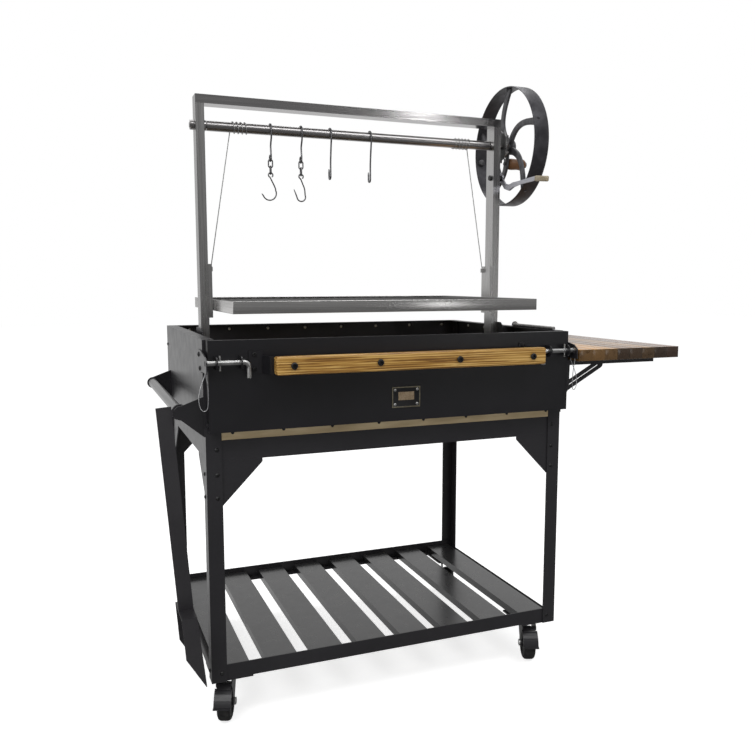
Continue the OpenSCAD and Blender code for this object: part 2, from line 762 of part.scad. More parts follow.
module caster_wheel() {
    translate([0, -trail, axle_z]) rotate([0, 90, 0]) rotate_extrude() {
        polygon([[axle_d / 2 + 0.08, -wheel_w / 2 - 0.8], [15, -wheel_w / 2 - 0.8], [17, -wheel_w / 2 + 5],
            [34, -wheel_w / 2 + 5], [37, -wheel_w / 2 + 1], [wheel_d / 2 - 6, -wheel_w / 2],
            [wheel_d / 2 - 1.5, -wheel_w / 2 + 4], [wheel_d / 2, -wheel_w / 2 + 11],
            [wheel_d / 2, wheel_w / 2 - 11], [wheel_d / 2 - 1.5, wheel_w / 2 - 4],
            [wheel_d / 2 - 6, wheel_w / 2], [37, wheel_w / 2 - 1], [34, wheel_w / 2 - 5],
            [17, wheel_w / 2 - 5], [15, wheel_w / 2 + 0.8], [axle_d / 2 + 0.08, wheel_w / 2 + 0.8]]);
    }
}

// Brake pedal: a curved shield in front of the tyre, hinged at its top
module brake_pedal() {
    wy = -trail;
    hinge = [wy - 18, axle_z + wheel_d / 2 + 5];
    r0 = wheel_d / 2 + 4;
    half = wheel_w / 2 + 6;
    difference() {
        union() {
            slab_x(-half, 2 * half) polygon(concat(
                [for (a = [12 : 8 : 60]) [wy - r0 * cos(a), axle_z + r0 * sin(a)]],
                [for (a = [60 : -8 : 12]) [wy - (r0 + 4) * cos(a), axle_z + (r0 + 4) * sin(a)]],
                [[wy - r0 - 11, axle_z + 12], [wy - r0 - 11, axle_z + 8], [wy - r0 + 1, axle_z + 8]]));
            slab_x(-wheel_w / 2 - 1, wheel_w + 2) union() {
                polygon([[wy - r0 * cos(58), axle_z + r0 * sin(58)], hinge + [3, -4], hinge + [-3, 4],
                    [wy - (r0 + 4) * cos(56), axle_z + (r0 + 4) * sin(56)]]);
                translate(hinge) circle(r = 5);
            }
        }
        rod_x(-half, half, hinge[0], hinge[1], 5.16);
    }
}

module caster_fork_fl() {
    color("#1b1c1e") caster_at(-1, -1) caster_fork(true);
}

module caster_fork_fr() {
    color("#1b1c1e") caster_at(1, -1) caster_fork(true);
}

module caster_fork_rl() {
    color("#1b1c1e") caster_at(-1, 1) caster_fork(false);
}

module caster_fork_rr() {
    color("#1b1c1e") caster_at(1, 1) caster_fork(false);
}

module caster_wheel_fl() {
    color("#151617") caster_at(-1, -1) caster_wheel();
}

module caster_wheel_fr() {
    color("#151617") caster_at(1, -1) caster_wheel();
}

module caster_wheel_rl() {
    color("#151617") caster_at(-1, 1) caster_wheel();
}

module caster_wheel_rr() {
    color("#151617") caster_at(1, 1) caster_wheel();
}

module brake_pedal_fl() {
    color("#202124") caster_at(-1, -1) brake_pedal();
}

module brake_pedal_fr() {
    color("#202124") caster_at(1, -1) brake_pedal();
}

// Folded front sheet with a top lip and round-cornered returns
module door_panel() {
    color("#232427") {
        block([-door_x, door_y, door_z0], [door_x, door_y + sheet_t, rim_z]);
        block([-door_x, door_y + sheet_t, rim_z - sheet_t], [door_x, door_y + door_lip, rim_z]);
        for (sx = [-1, 1]) mirrored(sx, 1) slab_x(door_x - sheet_t, sheet_t) difference() {
            union() {
                translate([door_y, pivot_z]) square([door_return, door_h - pivot_up]);
                translate([door_y, door_z0]) square([door_return / 2, pivot_up]);
                translate([pivot_y, pivot_z]) circle(r = pivot_up);
            }
            translate([pivot_y, pivot_z]) circle(d = pivot_d + 2 * pin_fit);
        }
    }
}

// Wooden bar with eased edges
module door_handle() {
    e = 6;
    y0 = handle_y - handle_t;
    z0 = handle_z - handle_h / 2;
    z1 = handle_z + handle_h / 2;
    color("#b98a4e") slab_x(handle_x0, handle_l) polygon([[y0 + e, z0], [handle_y - e, z0],
        [handle_y, z0 + e], [handle_y, z1 - e], [handle_y - e, z1], [y0 + e, z1],
        [y0, z1 - e], [y0, z0 + e]]);
}

// Bent strap from a foot on the door to the back of the handle
module handle_strap(foot0, foot1, arm, tab) {
    t = 3;
    z0 = handle_z - 22;
    translate([0, 0, z0]) linear_extrude(56) polygon([[foot0, door_y], [foot1, door_y], [foot1, door_y - t],
        [foot0, door_y - t]]);
    translate([0, 0, z0]) linear_extrude(44) polygon([[foot1 - t, door_y - t], [foot1, door_y - t],
        [arm, handle_y + t], [tab, handle_y + t], [tab, handle_y], [arm - t, handle_y]]);
}

module door_brackets() {
    color("#1e1f21") {
        handle_strap(strap_l - 36, strap_l, strap_l + 12, strap_l + 82);
        translate([0, 0, handle_z - 22]) linear_extrude(56) polygon([[strap_r - 36, door_y],
            [strap_r, door_y], [strap_r, door_y - 3], [strap_r - 36, door_y - 3]]);
        translate([0, 0, handle_z - 22]) linear_extrude(44) polygon([[strap_r - 3, door_y - 3],
            [strap_r, door_y - 3], [strap_r + 12, handle_y], [strap_r - 50, handle_y],
            [strap_r - 50, handle_y + 3], [strap_r + 8, handle_y + 3]]);
        for (sx = [-1, 1]) for (x = [lug_out_x, lug_in_x]) mirrored(sx, 1) {
            slab_x(x - lug_t / 2, lug_t) difference() {
                union() {
                    translate([pin_y, pin_z - lug_r]) square([pin_out, 2 * lug_r]);
                    translate([pin_y, pin_z]) circle(r = lug_r);
                }
                translate([pin_y, pin_z]) circle(d = pin_d + 2 * pin_fit);
            }
        }
    }
}

// Handle bolts on the front of the bar, and the bolts of the bracket feet
module door_bolts() {
    color("#151617") {
        for (k = [-3, -1, 1, 3]) {
            translate([handle_shift + k * handle_l * 0.1476, handle_y - handle_t, handle_z])
                rotate([90, 0, 0]) bolt_head(1.6);
        }
        for (x = [strap_l - 22, strap_r - 22]) for (z = [-12, 26]) {
            translate([x, door_y - 3, handle_z + z]) rotate([90, 0, 0]) bolt_head();
        }
    }
}

// Blank plate with a raised rim and four screws
module name_plate() {
    z0 = door_z0 + plate_up - plate_h / 2;
    y0 = door_y - 3;
    color("#2b2720") {
        difference() {
            block([-plate_w / 2 + 6, y0, z0], [plate_w / 2 + 6, door_y, z0 + plate_h]);
            block([-plate_w / 2 + 9, y0 - 1, z0 + 3], [plate_w / 2 + 3, y0 + 1, z0 + plate_h - 3]);
        }
    }
}

// L-shaped lock pin drawn on the left, with its cross pin
module lock_pin() {
    tip = -panel_x + clear;
    end = tip + pin_l;
    bend = pin_d;
    rod_x(tip, end, pin_y, pin_z, pin_d);
    translate([end, pin_y, pin_z - bend]) rotate([90, 0, 0]) rotate_extrude(angle = 90)
        translate([bend, 0]) circle(d = pin_d);
    translate([end + bend, pin_y, pin_z - pin_leg]) cylinder(d = pin_d, h = pin_leg - bend);
    translate([-lug_out_x + 9, pin_y, pin_z - 18.5]) cylinder(d = 5, h = 37);
}

module lock_pin_left() {
    color("#b5b6b6") lock_pin();
}

module lock_pin_right() {
    color("#b5b6b6") mirrored(-1, 1) lock_pin();
}

module lanyard() {
    at = [-panel_x - sheet_t / 2, pin_y + 2, tab_bottom];
    tube([for (p = lanyard_route) p + at], lanyard_d, [0, 1, 0]);
}

module lanyard_left() {
    color("#c9cacb") lanyard();
}

module lanyard_right() {
    color("#c9cacb") mirrored(-1, 1) lanyard();
}

// Turned shaft with its end collar and two cable clamps
module winch_shaft() {
    hub_end = spoke_x + spoke_t + 12;
    clamp = cable_d + 2;
    color("#8f9194") {
        rod_x(-shaft_end, shaft_end, up_y, shaft_z, shaft_d);
        rod_x(shaft_end, hub_end, up_y, shaft_z, journal_d);
        rod_x(-up_x1 - 14, -shaft_end, up_y, shaft_z, journal_d);
        rod_x(-up_x1 - 12, -up_x1 - 1, up_y, shaft_z, journal_d + 11);
        for (x = [-wind_x + turns_left * turn_pitch, wind_x - turns_right * turn_pitch]) {
            block([x - clamp, up_y, shaft_z + cable_d * 1.2],
                [x + clamp, cable_y + cable_d, shaft_z + cable_d * 1.2 + 7]);
        }
    }
}

module cable_windings() {
    color("#b0b2b4") {
        tube(path_left, cable_d, [1, 0, 0], 6);
        tube(path_right, cable_d, [1, 0, 0], 6);
    }
}

module ratchet_wheel() {
    r1 = ratchet_d / 2;
    r0 = r1 - 9;
    step = 360 / ratchet_teeth;
    color("#9a9c9f") slab_x(ratchet_x, ratchet_t) translate([up_y, shaft_z]) difference() {
        polygon([for (i = [0 : ratchet_teeth - 1]) for (p = [[r1, 0], [r0, -2], [r0, -step * 0.45]])
            let (a = -i * step + p[1] - 94) p[0] * [cos(a), sin(a)]]);
        circle(d = journal_d + 0.1);
    }
}

// Curved spoke from the hub to the band, first along +X
module spoke_2d() {
    r0 = 14;
    r1 = hand_d / 2 - band_t / 2;
    bow = 48;
    mid = [for (i = [0 : 12]) let (s = i / 12) [r0 + (r1 - r0) * s, bow * 4 * s * (1 - s) * (1 - 0.6 * s)]];
    side = [for (i = [0 : 12]) let (d = unit(mid[min(i + 1, 12)] - mid[max(i - 1, 0)])) [-d[1], d[0]]];
    w = [for (i = [0 : 12]) spoke_w * (0.62 - 0.16 * sin(180 * i / 12))];
    polygon(concat([for (i = [0 : 12]) mid[i] + side[i] * w[i]],
        [for (i = [12 : -1 : 0]) mid[i] - side[i] * w[i]]));
}

module hand_wheel() {
    hub_d = journal_d + 30;
    color("#2d2e31") translate([0, up_y, shaft_z]) {
        translate([band_x, 0, 0]) rotate([0, 90, 0]) difference() {
            cylinder(d = hand_d, h = band_w, $fn = 96);
            translate([0, 0, -1]) cylinder(d = hand_d - 2 * band_t, h = band_w + 2, $fn = 96);
        }
        difference() {
            union() {
                slab_x(spoke_x, spoke_t) for (i = [0 : spoke_count - 1]) {
                    mirror([1, 0]) rotate(16 + i * 360 / spoke_count) spoke_2d();
                }
                rod_x(spoke_x - 11, spoke_x + spoke_t + 14, 0, 0, hub_d);
            }
            rod_x(spoke_x - 12, spoke_x + spoke_t + 15, 0, 0, journal_d + 0.1);
            knob_at() rod_x(spoke_x - 1, spoke_x + spoke_t + 1, 0, 0, 10.1);
        }
        knob_at() {
            rod_x(spoke_x - 6, spoke_x + spoke_t + knob_l + 3, 0, 0, 10);
            rod_x(spoke_x + spoke_t + knob_l + 3, spoke_x + spoke_t + knob_l + 7, 0, 0, 20);
        }
        rotate([-98, 0, 0]) translate([band_x + 21, 0, hand_d / 2 - band_t - 8]) cylinder(d = 20, h = 9);
    }
}

// Place of the knob's spindle from the shaft's axis
module knob_at() {
    translate([0, -knob_r * cos(knob_ang), knob_r * sin(knob_ang)]) children();
}

module hand_knob() {
    x0 = spoke_x + spoke_t + 2;
    r = knob_d / 2;
    color("#8a5a33") translate([x0, up_y, shaft_z]) knob_at() rotate([0, 90, 0]) rotate_extrude() {
        polygon([[5.08, 0], [r * 0.72, 0], [r * 0.94, 4], [r, 14],
            [r * 0.92, knob_l * 0.55], [r, knob_l * 0.8],
            [r * 0.9, knob_l - 4], [r * 0.6, knob_l], [5.08, knob_l]]);
    }
}

// Bent lever: pawl nose towards the ratchet, long arm to the front, with a flat grip
module pawl_lever() {
    hub = [pawl_y, pawl_z];
    aim = 90 - pawl_lean - pawl_rest;
    nose = hub + pawl_reach * [cos(aim), sin(aim)];
    heel = hub + (pawl_reach - 3) * [cos(aim - 5), sin(aim - 5)];
    hub_r = pawl_pin_d / 2 + 8;
    arm = [hub + [-26, -27], hub + [-52, -34], hub + [-78, -27.5], hub + [-104, -26], hub + [-200, -22],
        hub + [-256, -29], hub + [-262, -30]];
    half = [8, 9.5, 7.5, 6.2, 6, 7, 4];
    away = atan2(-27, -26) + 360;
    upper = [for (i = [6:-1:0]) arm[i] - half[i] * turn(heading(arm, i, false), 90)];
    lower = [for (i = [0:6]) arm[i] + half[i] * turn(heading(arm, i, false), 90)];
    front = [for (k = [0:6]) hub + hub_r * turn([1, 0], away - 32 + (aim + 64 - away) * k / 6)];
    rear = [for (k = [0:8]) hub + hub_r * turn([1, 0], aim - 42 + (away - 360 + 74 - aim) * k / 8)];
    color("#b4b5b7") slab_x(ratchet_x, ratchet_t) difference() {
        polygon(concat([nose, heel], rear, lower, upper, front));
        translate(hub) circle(d = pawl_pin_d + 0.16);
    }
}

module grate_rim() {
    y0 = up_y - grate_d / 2;
    y1 = up_y + grate_d / 2;
    color("#b7b8b9") difference() {
        block([-grate_x, y0, grate_z0], [grate_x, y1, grate_z1]);
        block([-grate_x + grate_t, y0 + grate_t, grate_z0 - 1],
            [grate_x - grate_t, y1 - grate_t, grate_z1 + 1]);
    }
}

// V bars from front to back, with the cross bars that carry them
module grate_bars() {
    y0 = up_y - grate_d / 2 + grate_t;
    y1 = up_y + grate_d / 2 - grate_t;
    span = 2 * (grate_x - grate_t) - 10;
    pitch = span / bar_count;
    z = grate_z1 - 6;
    t = 2;
    color("#9fa1a3") {
        for (i = [0 : bar_count - 1]) {
            x = -span / 2 + (i + 0.5) * pitch;
            slab_y(y0, y1 - y0) polygon([[x - bar_w / 2, z], [x, z - 9], [x + bar_w / 2, z],
                [x + bar_w / 2, z - t * 1.5], [x, z - 9 - t * 1.5], [x - bar_w / 2, z - t * 1.5]]);
        }
        for (y = [y0 + 90, y1 - 90 - 6]) {
            block([-grate_x + grate_t, y, z - 9 - t * 1.5 - 10], [grate_x - grate_t, y + 6, z - 9 - t * 1.5]);
        }
    }
}

// Channels that slide on the uprights, with guide pins, the grate's studs and the cables' eye plates
module slide_sleeves() {
    y_in = tube_d / 2 + sleeve_fit;
    y_out = y_in + sheet_t;
    z1 = sleeve_z0 + sleeve_l;
    pin = 6.2;
    color("#a2a4a6") for (sx = [-1, 1]) mirrored(sx, 1) {
        block([sleeve_web - sheet_t, up_y - y_out, sleeve_z0], [sleeve_web, up_y + y_out, z1]);
        for (s = [-1, 1]) {
            y = up_y + s * (y_in + y_out) / 2;
            block([sleeve_web, y - sheet_t / 2, sleeve_z0], [up_x0 + 8, y + sheet_t / 2, z1]);
        }
        for (z = [sleeve_z0 + 14, z1 - 14])
            rod_y(up_y - y_in, up_y + y_in, sleeve_web + 0.4 + pin / 2, z, pin);
        rod_x(grate_x, sleeve_web - sheet_t, up_y, grate_z0 + grate_h / 2, 20);
        block([sleeve_web - sheet_t - 9, cable_y - 3, z1 - 20], [sleeve_web - sheet_t, cable_y + 3, z1 - 7]);
    }
}

// Straight cable runs between the shaft and the eye plates
module lift_cables() {
    top = [wind_x, shaft_z - cable_d * 1.2 - 0.2];
    low = [sleeve_web - sheet_t - 5, sleeve_z0 + sleeve_l - 6.2];
    run = norm(top - low);
    color("#b0b2b4") for (sx = [-1, 1]) mirrored(sx, 1) {
        translate([low[0], cable_y, low[1]]) rotate([0, atan2(top[0] - low[0], top[1] - low[1]), 0])
            cylinder(d = cable_d, h = run, $fn = 16);
    }
}

// Stave-glued top
module table_top() {
    x0 = fold_x + 4;
    color("#9a7148") block([x0, door_y, arm_z1], [x0 + table_l, door_y + table_d, arm_z1 + table_t]);
}

// Channels under the top, open downwards, drilled for the hinge pins
module table_arms() {
    t = 3;
    color("#232427") for (y = arm_y) difference() {
        union() {
            block([fold_x, y, fold_z - arm_h / 2], [fold_x + arm_l, y + arm_w, arm_z1]);
            for (c = [y, y + arm_w - t]) rod_y(c, c + t, fold_x, fold_z, arm_h);
        }
        block([fold_x - arm_h, y + t, fold_z - arm_h], [fold_x + arm_l - t, y + arm_w - t, arm_z1 - t]);
        rod_y(y - 1, y + arm_w + 1, fold_x, fold_z, fold_pin_d + 0.16);
    }
}

// Slotted diagonal braces
module table_braces() {
    t = 6;
    a = [brace_x, brace_z];
    d = [cos(brace_ang), sin(brace_ang)];
    color("#232427") for (y = arm_y) slab_y(y + (arm_w - t) / 2, t) difference() {
        link_2d(a, brace_tip, brace_w);
        link_2d(a + d * 22, a + d * (brace_len - 6), 4.5);
        translate(a) circle(d = fold_pin_d + 0.16);
    }
}

// Hook over the shaft, down its front, to a bent eye under the axis
function hanger_path(x, low) = concat(
    arc_yz(x, up_y, shaft_z, hook_bend, -25, 180, 16),
    [[x, up_y - hook_bend, shaft_z - 8], [x, up_y - hook_bend * 0.8, shaft_z - 24],
        [x, up_y - hook_bend * 0.3, shaft_z - 44], [x, up_y - 8.6, low + 14]],
    arc_yz(x, up_y, low + 6, 6 + hook_wire / 2, 165, 450, 14));

// Hook over the shaft with a turned-up point, for hanging
function j_hook_path(x, low, r) = concat(
    arc_yz(x, up_y, shaft_z, hook_bend, -25, 180, 16),
    [[x, up_y - hook_bend, shaft_z - 10], [x, up_y - hook_bend * 0.72, shaft_z - 40],
        [x, up_y - hook_bend * 0.45, shaft_z - 80], [x, up_y - r, low + r + 8]],
    arc_yz(x, up_y, low + r, r, 180, 360, 10),
    [[x, up_y + r, low + r + 12], [x, up_y + r + 1, low + r + 22]]);

// Closed chain link in the plane along X or along Y
function link_path(x, z, r, long, along_x) = let (h = long / 2 - r) [for (i = [0 : 15])
    let (a = 22.5 * i + 11.25, s = sin(a) > 0 ? h : -h)
    along_x ? [x + r * cos(a), up_y, z + r * sin(a) + s] : [x, up_y + r * cos(a), z + r * sin(a) + s]];

// Hook with an eye at its top, in the plane along X: a bow of radius r, then the free tip
function s_hook_path(x, z, low, r, side, tip) = concat(
    arc_xz(x, up_y, z, s_eye, -60, 250, 14),
    [[x + 1, up_y, z - 12], [x + (r + side) * 0.45, up_y, z - 24], [x + (r + side) * 0.8, up_y, z - 36]],
    arc_xz(x + side, up_y, low + r, r, 22, -150, 14),
    [for (p = tip) [x + p[0], up_y, low + p[1]]]);

hanger_low = shaft_z - 84;
link_l = 27;
link_r = 6;
link_run = link_l - link_d;
link1_z = hanger_low + link_d / 2 + clear - link_run / 2;
link2_z = link1_z - link_run + link_d + clear;
s_wire = hook_wire - 1;
s_eye = 6.5;
s_eye_z = link2_z - link_run / 2 + link_d / 2 + s_wire / 2 + clear - s_eye;

module hanger(x) {
    tube(hanger_path(x, hanger_low), hook_wire, [1, 0, 0]);
}

module upper_link(x) {
    tube(link_path(x, link1_z, link_r, link_run, true), link_d, [0, 1, 0], 6, true);
}

// Second chain link and the lower hook
module lower_hook(x, r, side, tip) {
    tube(link_path(x, link2_z, link_r, link_run, false), link_d, [1, 0, 0], 6, true);
    tube(s_hook_path(x, s_eye_z, shaft_z - 197, r, side, tip), s_wire, [0, 1, 0]);
}

module hook_a_upper() {
    color("#6d6f73") hanger(hook_x[0]);
}

module hook_a_link() {
    color("#6d6f73") upper_link(hook_x[0]);
}

module hook_a_lower() {
    color("#6d6f73") lower_hook(hook_x[0], 20, -4, [[-23, 13], [-27, 18]]);
}

module hook_b_upper() {
    color("#6d6f73") hanger(hook_x[1]);
}

module hook_b_link() {
    color("#6d6f73") upper_link(hook_x[1]);
}

module hook_b_lower() {
    color("#6d6f73") lower_hook(hook_x[1], 13, 0, [[-15, 17], [-22, 34]]);
}

module hook_c() {
    color("#6d6f73") tube(j_hook_path(hook_x[2], shaft_z - 129, 8), hook_wire, [1, 0, 0]);
}

module hook_d() {
    color("#6d6f73") tube(j_hook_path(hook_x[3], shaft_z - 132, 8), hook_wire, [1, 0, 0]);
}

// Cut-out flat handle with a hook over the tool bar, and a folded scoop
module ash_shovel() {
    r = tool_bar_d / 2 + 0.5;
    top = [bar_x - r - 6 - shovel_w / 2, bar_z + 14];
    low = top + [shovel_in, -shovel_l];
    lean = atan2(low[0] - top[0], top[1] - low[1]);
    d = unit(low - top);
    back = low + turn([-shovel_w / 2, 0], lean);
    front = low + turn([shovel_w / 2, 0], lean);
    tip = front + [20, -scoop_l];
    color("#2a2b2e") {
        slab_y(shovel_y - shovel_t / 2, shovel_t) difference() {
            union() {
                translate(top) rotate(lean) translate([-shovel_w / 2, -norm(low - top)])
                    square([shovel_w, norm(low - top)]);
                translate([bar_x, bar_z]) circle(r = r + 6);
            }
            translate([bar_x, bar_z]) circle(r = r);
            translate([bar_x - r * 0.55, bar_z - 3 * r]) square([4 * r, 3 * r]);
        }
        slab_y(shovel_y - scoop_w / 2, scoop_w) polygon([back, front, tip, tip - [scoop_t, 0],
            front - [scoop_t, scoop_t], back - [0, scoop_t]]);
        for (y = [shovel_y - scoop_w / 2, shovel_y + scoop_w / 2 - scoop_t]) slab_y(y, scoop_t) {
            polygon([back - [0, scoop_t], front - [scoop_t, scoop_t], tip - [scoop_t, 0], back + [8, -105]]);
        }
    }
}

corner_posts();
aprons();
corner_gussets();
shelf_rails();
shelf_slats();
firebox_panels();
floor_pan();
rim_rod();
frame_bolts();
upright_brackets();
upright_left();
upright_right();
top_bar();
shaft_bearings();
pawl_pivot();
tool_bar();
door_tabs();
table_brackets();
caster_plates();
caster_fork_fl();
caster_fork_fr();
caster_fork_rl();
caster_fork_rr();
caster_wheel_fl();
caster_wheel_fr();
caster_wheel_rl();
caster_wheel_rr();
brake_pedal_fl();
brake_pedal_fr();
door_panel();
door_handle();
door_brackets();
door_bolts();
name_plate();
lock_pin_left();
lock_pin_right();
lanyard_left();
lanyard_right();
winch_shaft();
cable_windings();
ratchet_wheel();
hand_wheel();
hand_knob();
pawl_lever();
grate_rim();
grate_bars();
slide_sleeves();
lift_cables();
table_top();
table_arms();
table_braces();
hook_a_upper();
hook_a_link();
hook_a_lower();
hook_b_upper();
hook_b_link();
hook_b_lower();
hook_c();
hook_d();
ash_shovel();
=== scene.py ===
import bpy
import math
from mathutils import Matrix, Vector


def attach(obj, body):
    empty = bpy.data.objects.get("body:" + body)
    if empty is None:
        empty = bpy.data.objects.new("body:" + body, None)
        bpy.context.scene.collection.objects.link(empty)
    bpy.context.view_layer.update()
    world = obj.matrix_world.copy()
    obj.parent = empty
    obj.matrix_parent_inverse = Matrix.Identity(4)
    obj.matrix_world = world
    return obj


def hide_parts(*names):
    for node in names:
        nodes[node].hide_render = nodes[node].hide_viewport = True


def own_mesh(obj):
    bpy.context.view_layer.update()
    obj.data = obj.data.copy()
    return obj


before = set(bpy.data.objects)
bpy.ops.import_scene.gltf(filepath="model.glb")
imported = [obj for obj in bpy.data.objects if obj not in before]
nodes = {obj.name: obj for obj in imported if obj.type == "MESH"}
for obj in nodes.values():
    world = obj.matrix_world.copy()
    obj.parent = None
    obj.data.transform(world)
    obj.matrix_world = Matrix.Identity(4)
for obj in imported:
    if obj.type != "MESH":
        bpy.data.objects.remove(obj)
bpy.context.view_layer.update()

# Viewpoint: left of the cart's middle, at chest height, looking slightly down.
# The lens takes in the whole cart, from the casters to the top of the hand wheel.
eye = (-0.8385, -2.3099, 1.1694)
view_tilt, view_pan = math.radians(83.09), math.radians(-21.63)
bpy.ops.object.select_all(action="DESELECT")
bpy.ops.object.camera_add(location=eye, rotation=(view_tilt, 0.0, view_pan))
view = bpy.context.object
view.name = "view"
view.data.lens = 37.57
view.data.sensor_width = 36.0
bpy.context.scene.camera = view


# Latch lanyards: thin galvanised steel cable, hung as one loop under each latch tab.
# Both ends are held at the tab's lower edge, so the loop goes back into the cart.
def new_finish(name):
    made = bpy.data.materials.new(name)
    made.use_nodes = True
    return made, made.node_tree, made.node_tree.nodes["Principled BSDF"]


def put(tree, kind, inputs=None, **settings):
    node = tree.nodes.new(kind)
    for key, value in settings.items():
        setattr(node, key, value)
    for key, value in (inputs or {}).items():
        node.inputs[key].default_value = value
    return node


def wire(tree, *pairs):
    for source, socket in pairs:
        tree.links.new(source, socket)


def mottle(tree, scale, stretch=(1.0, 1.0, 1.0), detail=3.0):
    coords = put(tree, "ShaderNodeTexCoord")
    mapping = put(tree, "ShaderNodeMapping", {"Scale": stretch})
    noise = put(tree, "ShaderNodeTexNoise", {"Scale": scale, "Detail": detail})
    wire(tree, (coords.outputs["Object"], mapping.inputs["Vector"]),
         (mapping.outputs["Vector"], noise.inputs["Vector"]))
    return noise.outputs["Fac"]


def tint(tree, source, socket, stops, steps=False):
    ramp = put(tree, "ShaderNodeValToRGB")
    if steps:
        ramp.color_ramp.interpolation = "CONSTANT"
    while len(ramp.color_ramp.elements) < len(stops):
        ramp.color_ramp.elements.new(0.5)
    for stop, (place, colour) in zip(ramp.color_ramp.elements, stops):
        stop.position = place
        stop.color = (*colour, 1.0)
    wire(tree, (source, ramp.inputs["Fac"]), (ramp.outputs["Color"], socket))


def spread(tree, source, socket, low, high):
    reach = put(tree, "ShaderNodeMapRange",
                {"From Min": 0.3, "From Max": 0.7, "To Min": low, "To Max": high})
    wire(tree, (source, reach.inputs["Value"]), (reach.outputs["Result"], socket))


def relief(tree, shader, source, strength, depth):
    bump = put(tree, "ShaderNodeBump", {"Strength": strength, "Distance": depth})
    wire(tree, (source, bump.inputs["Height"]), (bump.outputs["Normal"], shader.inputs["Normal"]))


def eased_route(knots, steps):
    points = []
    last = len(knots) - 1
    for i in range(last):
        a, b = knots[max(i - 1, 0)], knots[i]
        c, d = knots[i + 1], knots[min(i + 2, last)]
        for k in range(steps):
            t = k / steps
            points.append(0.5 * (2 * b + (c - a) * t + (2 * a - 5 * b + 4 * c - d) * t ** 2
                                 + (3 * b - 3 * c + d - a) * t ** 3))
    return points + [knots[last]]


loop_diameter = 0.0020
tab_x, tab_y, tab_z = 0.5285, -0.406, 0.950
loop_route_mm = [(0, 15, 0), (0, 15, -6), (-3, 14, -14), (-9, 12, -28), (-14, 10, -44),
                 (-17, 8, -60), (-16, 6, -76), (-13, 5, -86), (-7, 3, -92), (0, 1, -90),
                 (3, -1, -82), (4, -2, -70), (4.5, -3, -56), (4.5, -4, -42), (3.5, -5, -28),
                 (1.5, -5, -16), (0, -5, -6), (0, -5, 0)]
loop_steel, tree, shader = new_finish("loop_steel")
shader.inputs["Metallic"].default_value = 0.85
tint(tree, mottle(tree, 260.0, (1.0, 1.0, 3.0)), shader.inputs["Base Color"],
     [(0.35, (0.34, 0.34, 0.35)), (0.65, (0.62, 0.62, 0.63))])
spread(tree, mottle(tree, 500.0), shader.inputs["Roughness"], 0.32, 0.5)
relief(tree, shader, mottle(tree, 1400.0, (1.0, 1.0, 2.0), 1.0), 0.35, 0.0004)
for side, hand in ((1.0, "left"), (-1.0, "right")):
    places = [Vector((side * (-tab_x + x / 1000), tab_y + y / 1000, tab_z + z / 1000))
              for x, y, z in loop_route_mm]
    places = eased_route(places, 2)
    bpy.ops.curve.primitive_nurbs_path_add()
    loop = bpy.context.object
    loop.name = "latch_loop_" + hand
    loop.data.splines.clear()
    run = loop.data.splines.new("POLY")
    run.points.add(len(places) - 1)
    for knot, place in zip(run.points, places):
        knot.co = (*place, 1.0)
    loop.data.bevel_depth = loop_diameter / 2
    loop.data.bevel_resolution = 3
    loop.data.use_fill_caps = True
    loop.data.materials.append(loop_steel)
    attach(loop, "cart")
    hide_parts("lanyard_" + hand)

# Studio floor: pale paper that runs out to white for the camera and keeps the cart's shadow.
# Metal sees it dimmer towards the front, so faces turned to the camera stay grey.
bpy.context.scene.view_settings.view_transform = "Standard"
bpy.ops.object.select_all(action="DESELECT")
bpy.ops.mesh.primitive_plane_add(size=40.0, location=(0.0, 0.0, 0.0))
floor = bpy.context.object
floor.name = "studio_floor"
paper, tree, shader = new_finish("floor_paper")
shader.inputs["Base Color"].default_value = (0.80, 0.80, 0.80, 1.0)
shader.inputs["Roughness"].default_value = 0.9
shader.inputs["Specular IOR Level"].default_value = 0.0
rays = put(tree, "ShaderNodeLightPath")
lift = put(tree, "ShaderNodeMath", {1: 0.72}, operation="MULTIPLY")
glow = put(tree, "ShaderNodeEmission")
both = put(tree, "ShaderNodeAddShader")
place = put(tree, "ShaderNodeTexCoord")
parted = put(tree, "ShaderNodeSeparateXYZ")
depth = put(tree, "ShaderNodeMapRange",
            {"From Min": -0.4, "From Max": 1.2, "To Min": 0.14, "To Max": 0.75})
dusk = put(tree, "ShaderNodeEmission")
mirror = put(tree, "ShaderNodeMixShader")
wire(tree,
     (place.outputs["Object"], parted.inputs[0]),
     (parted.outputs["Y"], depth.inputs["Value"]),
     (depth.outputs["Result"], dusk.inputs["Strength"]),
     (rays.outputs["Is Camera Ray"], lift.inputs[0]),
     (lift.outputs[0], glow.inputs["Strength"]),
     (shader.outputs[0], both.inputs[0]),
     (glow.outputs[0], both.inputs[1]),
     (rays.outputs["Is Glossy Ray"], mirror.inputs["Fac"]),
     (both.outputs[0], mirror.inputs[1]),
     (dusk.outputs[0], mirror.inputs[2]),
     (mirror.outputs[0], tree.nodes["Material Output"].inputs["Surface"]))
floor.data.materials.append(paper)

